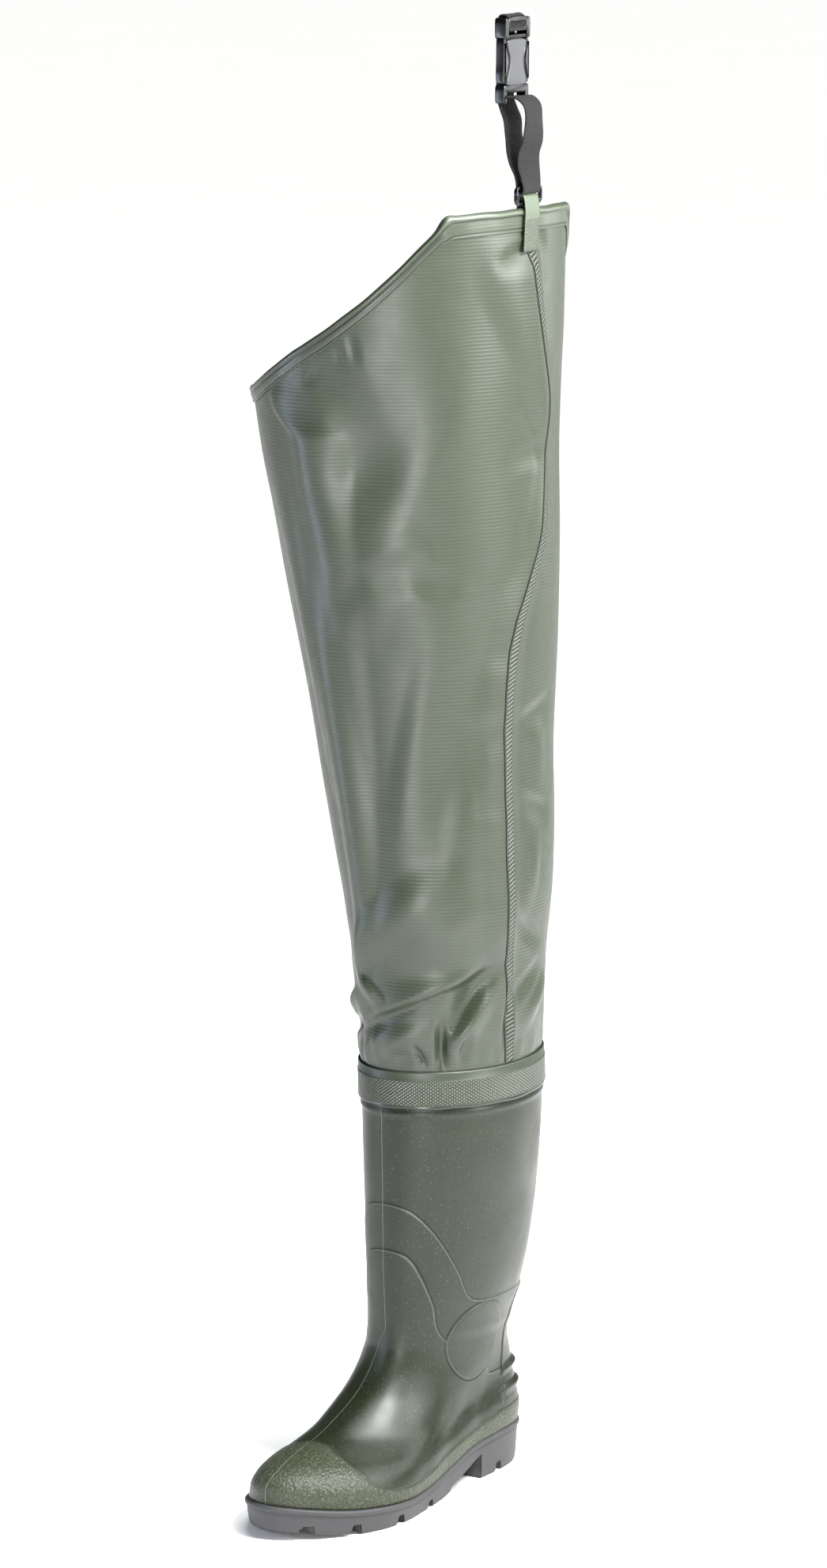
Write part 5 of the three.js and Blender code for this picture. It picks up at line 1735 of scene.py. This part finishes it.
def band_material():
    """PVC band pressed with a knurl of diamonds 2.4 mm wide. Its rim is plain, and its
    foot is the glossy bead squeezed out by the weld. The knurled field is painted dark as
    painted shade between the diamonds, and their points are painted pale as painted
    highlights."""
    material, tree, shader, place = start_material("knurled_pvc_band", 0.4, IOR=1.53)
    across, up = surface_lengths(tree)
    points = diamonds(tree, across, up, 0.0032, 0.0026)
    above = add_node(tree, "MapRange", {0: up, 1: 0.0018, 2: 0.003})
    below = add_node(tree, "MapRange", {0: up, 1: 0.0212, 2: 0.022, 3: 1.0, 4: 0.0})
    # painted shade: the knurled field is painted dark, for the shade between its diamonds
    knurl_field_and_shade = add_node(tree, "Math", {0: above, 1: below}, operation="MULTIPLY")
    # painted highlight: the diamonds' points are painted pale over the dark field
    knurl = add_node(tree, "Math", {0: points, 1: knurl_field_and_shade}, operation="MULTIPLY")
    weld = add_node(tree, "MapRange", {0: up, 1: 0.001, 2: 0.0024, 3: 1.0, 4: 0.0})
    fine = add_node(tree, "TexNoise", {"Vector": place, "Scale": 1200.0, "Detail": 2.0})
    painted(
        tree, shader, "#272e22", (knurl_field_and_shade, 0.8, "#0e120b"), (knurl, 0.9, "#535c4a"),
        (weld, 1.0, "#161a12"),
    )
    embossed(tree, shader, (knurl, 1.1), (fine, 0.05))
    rough = add_node(tree, "MapRange", {0: weld, 3: 0.42, 4: 0.16})
    tree.links.new(rough, shader.inputs["Roughness"])
    return material


def tape_material():
    """Seam tape pressed on hot with a ribbed wheel: short slanted ribs between two smooth
    edges. The ribs' tops are painted pale as painted highlights, and a pale line on each
    shoulder is a painted highlight."""
    material, tree, shader, place = start_material(
        "welded_tape_sage", 0.6, IOR=1.46
    )
    across, up = surface_lengths(tree)
    slant = add_node(tree, "Math", {0: across, 1: 0.45, 2: up}, operation="MULTIPLY_ADD")
    ribs = waves(tree, slant, 0.0034)
    away = add_node(tree, "Math", {0: across}, operation="ABSOLUTE")
    middle = add_node(tree, "MapRange", {0: away, 1: 0.003, 2: 0.004, 3: 1.0, 4: 0.0})
    # painted highlight: the ribs' raised tops are also painted pale
    ladder_and_highlight = add_node(tree, "Math", {0: ribs, 1: middle}, operation="MULTIPLY")
    # painted highlight: a pale line painted along each rounded shoulder of the tape
    margin = add_node(tree, "Math", {0: away, 1: 0.0041}, operation="SUBTRACT")
    edge = edge_line(tree, margin, 0.0006)
    mottle = add_node(tree, "TexNoise", {"Vector": place, "Scale": 60.0, "Detail": 3.0})
    # the pale rib tops and shoulder lines are painted highlights
    painted(tree, shader, "#070906", (ladder_and_highlight, 0.9, "#5d6654"), (edge, 0.3, "#565f4e"))
    embossed(tree, shader, (ladder_and_highlight, 0.6), (edge, 0.1))
    glossed(tree, shader, mottle, 0.55, 0.65)
    return material


def loop_material():
    """Belt loop of the coated cloth, pressed with a fine diamond grid where it is welded
    on, and smooth over the ring. There it is painted dark between the grid's points as
    painted shade, and the points keep the cloth's tone."""
    material, tree, shader, place = start_material(
        "belt_loop_sage", 0.42, IOR=1.5, Coat_Weight=0.08, Coat_Roughness=0.35
    )
    across, up = surface_lengths(tree)
    points = diamonds(tree, across, up, 0.003, 0.0027)
    # painted shade: the welded patch is painted dark and the grid's points are painted back to the cloth's
    # tone, so the grid's grooves stay dark
    welded = add_node(tree, "MapRange", {0: up, 1: 0.024, 2: 0.026, 3: 1.0, 4: 0.0})
    knurl = add_node(tree, "Math", {0: points, 1: welded}, operation="MULTIPLY")
    mottle = add_node(tree, "TexNoise", {"Vector": place, "Scale": 90.0, "Detail": 3.0})
    painted(tree, shader, "#414a3b", (welded, 0.9, "#1f241a"), (knurl, 0.9, "#434c3c"))
    embossed(tree, shader, (knurl, 0.5), (mottle, 0.05))
    return material


def hem_material():
    """The cloth folded over and welded: a pressed line runs along the fold and another
    near the hem's lower edge. Its slanted part is painted darker as painted shade, and a
    pale line along the bead is a painted highlight."""
    material, tree, shader, place = start_material(
        "hem_coated_nylon", 0.38, IOR=1.5, Coat_Weight=0.12, Coat_Roughness=0.3
    )
    across, up = surface_lengths(tree)
    inside = add_node(tree, "Attribute", out="Fac", attribute_name="inside")
    lower = add_node(tree, "Math", {0: up, 1: 0.0098}, operation="ADD")
    lines = add_node(
        tree, "Math", {0: edge_line(tree, lower, 0.0009), 1: edge_line(tree, up, 0.001)},
        operation="MAXIMUM",
    )
    # painted shade: on the slanted part the hem, from about 7 mm below the fold up over the bead, is
    # painted darker
    slanted = add_node(tree, "Attribute", out="Fac", attribute_name="slanted")
    high = add_node(tree, "MapRange", {0: up, 1: -0.0085, 2: -0.0065})
    slanted_shade = add_node(tree, "Math", {0: slanted, 1: high}, operation="MULTIPLY")
    # painted highlight: a pale line painted along the bead's outer bulge, 2.6 mm above the fold
    top = add_node(tree, "Math", {0: up, 1: 0.0026}, operation="SUBTRACT")
    bead_highlight = edge_line(tree, top, 0.0012)
    ribs = cloth_ribs(tree, place, across, up)
    mottle = add_node(tree, "TexNoise", {"Vector": place, "Scale": 50.0, "Detail": 3.0})
    # the darker coat on the slanted part is painted shade, and the pale line on the bead is a painted
    # highlight
    painted(
        tree, shader, "#2f372a", (mottle, 0.4, "#363e30"), (slanted_shade, 0.75, "#181d13"),
        (bead_highlight, 0.4, "#535c4a"), (lines, 0.7, "#14180f"), (inside, 1.0, "#252b1f"),
    )
    embossed(tree, shader, (ribs, 0.03), (lines, -0.4))
    return material


def ring_material():
    """Bent steel wire with a dark plating, worn paler in places."""
    material, tree, shader, place = start_material("plated_steel_dark", 0.24, Metallic=1.0)
    worn = add_node(tree, "TexNoise", {"Vector": place, "Scale": 300.0, "Detail": 4.0})
    worn = add_node(tree, "MapRange", {0: worn, 1: 0.45, 2: 0.7})
    painted(tree, shader, "#1b1c20", (worn, 1.0, "#4b4d54"))
    embossed(tree, shader, (worn, 0.03))
    glossed(tree, shader, worn, 0.2, 0.38)
    return material


def webbing_material():
    """Woven polyester webbing: ribs across it every 1.3 mm, each a row of short yarns,
    about twice as coarse as they are so that they show."""
    material, tree, shader, place = start_material(
        "woven_polyester_black", 0.9, IOR=1.45
    )
    across, up = surface_lengths(tree)
    ribs = waves(tree, up, 0.0013)
    shift = add_node(tree, "Math", {0: ribs, 1: 0.00018, 2: across}, operation="MULTIPLY_ADD")
    yarns = waves(tree, shift, 0.0011)
    weave = add_node(tree, "Math", {0: yarns, 1: ribs}, operation="ADD")
    fuzz = add_node(tree, "TexNoise", {"Vector": place, "Scale": 1600.0, "Detail": 2.0})
    lit = add_node(tree, "MapRange", {0: weave, 1: -1.6, 2: 1.6})
    painted(tree, shader, "#010202", (lit, 0.8, "#0b0d0c"), (fuzz, 0.2, "#161918"))
    embossed(tree, shader, (weave, 0.14), (fuzz, 0.2))
    return material


def panel_material():
    """Grey acetal moulded in an etched mould: a fine even grain, softly glossy."""
    material, tree, shader, place = start_material("moulded_acetal_grey", 0.42, IOR=1.48)
    speck = add_node(tree, "TexNoise", {"Vector": place, "Scale": 1300.0, "Detail": 3.0})
    painted(tree, shader, "#232426", (speck, 0.9, "#3a3b3e"))
    embossed(tree, shader, (speck, 0.15))
    return material


def gloss_material():
    """Black acetal from a polished mould: hard thin highlights."""
    material, tree, shader, place = start_material(
        "moulded_acetal_black", 0.24, IOR=1.45
    )
    haze = add_node(tree, "TexNoise", {"Vector": place, "Scale": 120.0, "Detail": 3.0})
    painted(tree, shader, "#020203", (haze, 0.5, "#060707"))
    embossed(tree, shader, (haze, 0.02))
    glossed(tree, shader, haze, 0.16, 0.28)
    return material


# The pieces in place of the part's nodes
finish_piece(make_outsole(), sole_material(), "sole_rubber", "outsole")
finish_piece(make_boot(), boot_material(), "boot_rubber", "boot")
finish_piece(make_insole(), insole_material(), "insole_felt", "insole")
finish_piece(make_leg(), fabric_material(), "coated_fabric", "leg")
finish_piece(make_weld_band(), band_material(), "band_rubber", "weld_band")
finish_piece(make_collar_hem(), hem_material(), "coated_fabric", "collar_hem")
finish_piece(make_seam_tape(), tape_material(), "coated_fabric", "seam_tape")
finish_piece(make_belt_loop(), loop_material(), "coated_fabric", "belt_loop")
finish_piece(make_ring(), ring_material(), "ring_metal", "ring")
finish_piece(make_strap(), webbing_material(), "webbing", "strap")
finish_piece(make_socket_panel(), panel_material(), "buckle_grey", "buckle_socket")
black = gloss_material()
finish_piece(make_socket_frame(), black, "buckle_black", "buckle_socket")
finish_piece(make_tongue(), black, "buckle_black", "buckle_tongue")


# The stage: white paper, soft lights and the camera
CAMERA_PLACE = (2.72972, -3.74163, 1.49769)
CAMERA_TURN = 36.706
CAMERA_DROP = 11.513
CAMERA_LENS = 137.79
FLOOR_REACH = 40000.0


def make_floor():
    """Level square sheet, of a few rows and columns."""
    reach = np.linspace(-FLOOR_REACH, FLOOR_REACH, 9)
    x, y = np.meshgrid(reach, reach)
    points = np.stack([x, y, np.zeros_like(x)], -1).reshape(-1, 3)
    return make_piece("studio_floor", points, [grid_faces(9, 9, around=False)])


def paper_material():
    """Matte white paper with hardly visible cloudiness."""
    material, tree, shader, place = start_material("studio_paper", 0.9, IOR=1.5)
    cloud = add_node(tree, "TexNoise", {"Vector": place, "Scale": 3.0})
    painted(tree, shader, "#f9f9f8", (cloud, 0.5, "#fcfcfb"))
    return material


def make_camera():
    """Long lens at the photograph's place, turned about the upright and tipped down."""
    data = bpy.data.cameras.new("camera")
    data.lens = CAMERA_LENS
    data.sensor_width = 36.0
    data.clip_end = 100.0
    camera = bpy.data.objects.new("camera", data)
    bpy.context.scene.collection.objects.link(camera)
    camera.location = CAMERA_PLACE
    camera.rotation_euler = (math.radians(90 - CAMERA_DROP), 0.0, math.radians(CAMERA_TURN))
    bpy.context.scene.camera = camera


def around(turn, distance, height):
    """Place round the object, by an angle to the right of the camera."""
    a = math.radians(turn + CAMERA_TURN)
    return Vector((math.sin(a) * distance, -math.cos(a) * distance, height))


def add_light(name, place, aim, power, size=None, angle=None, tint="#ffffff"):
    """Rectangular softbox of a size, or a sun of an angle where no size is given."""
    data = bpy.data.lights.new(name, "AREA" if size else "SUN")
    if size:
        data.shape = "RECTANGLE"
        data.size, data.size_y = size
    else:
        data.angle = math.radians(angle)
    data.energy = power
    data.color = linear(tint)[:3]
    lamp = bpy.data.objects.new(name, data)
    bpy.context.scene.collection.objects.link(lamp)
    lamp.location = place
    lamp.visible_camera = False
    lamp.rotation_euler = (Vector(aim) - place).to_track_quat("-Z", "Y").to_euler()


floor = make_floor()
floor.data.materials.append(paper_material())
make_camera()
add_light("sky_panel", around(100, 0.8, 5.5), (0, 0, 0), 3.05, angle=30)
add_light("key_softbox", around(62, 2.0, 1.15), (0, 0, 0.8), 38, size=(0.7, 1.0))
add_light("front_softbox", around(-6, 2.2, 0.5), (0, 0, 0.35), 25, size=(0.5, 0.8))
add_light("side_softbox", around(94, 1.8, 1.5), (0, 0, 0.85), 16, size=(0.7, 1.2))
add_light("right_strip", around(118, 1.4, 0.95), (0, 0, 0.9), 5, size=(0.4, 0.8))
add_light("left_strip", around(-76, 1.5, 0.5), (0, 0, 0.6), 9, size=(0.36, 1.0), tint="#d5e4ff")
add_light("top_softbox", around(45, 1.1, 1.75), (0, -0.12, 0.08), 84, size=(0.6, 0.5))

world = bpy.data.worlds.new("studio")
bpy.context.scene.world = world
world.use_nodes = True
world.node_tree.nodes["Background"].inputs["Color"].default_value = linear("#ffffff")
world.node_tree.nodes["Background"].inputs["Strength"].default_value = 0.12
bpy.context.scene.view_settings.view_transform = "Standard"
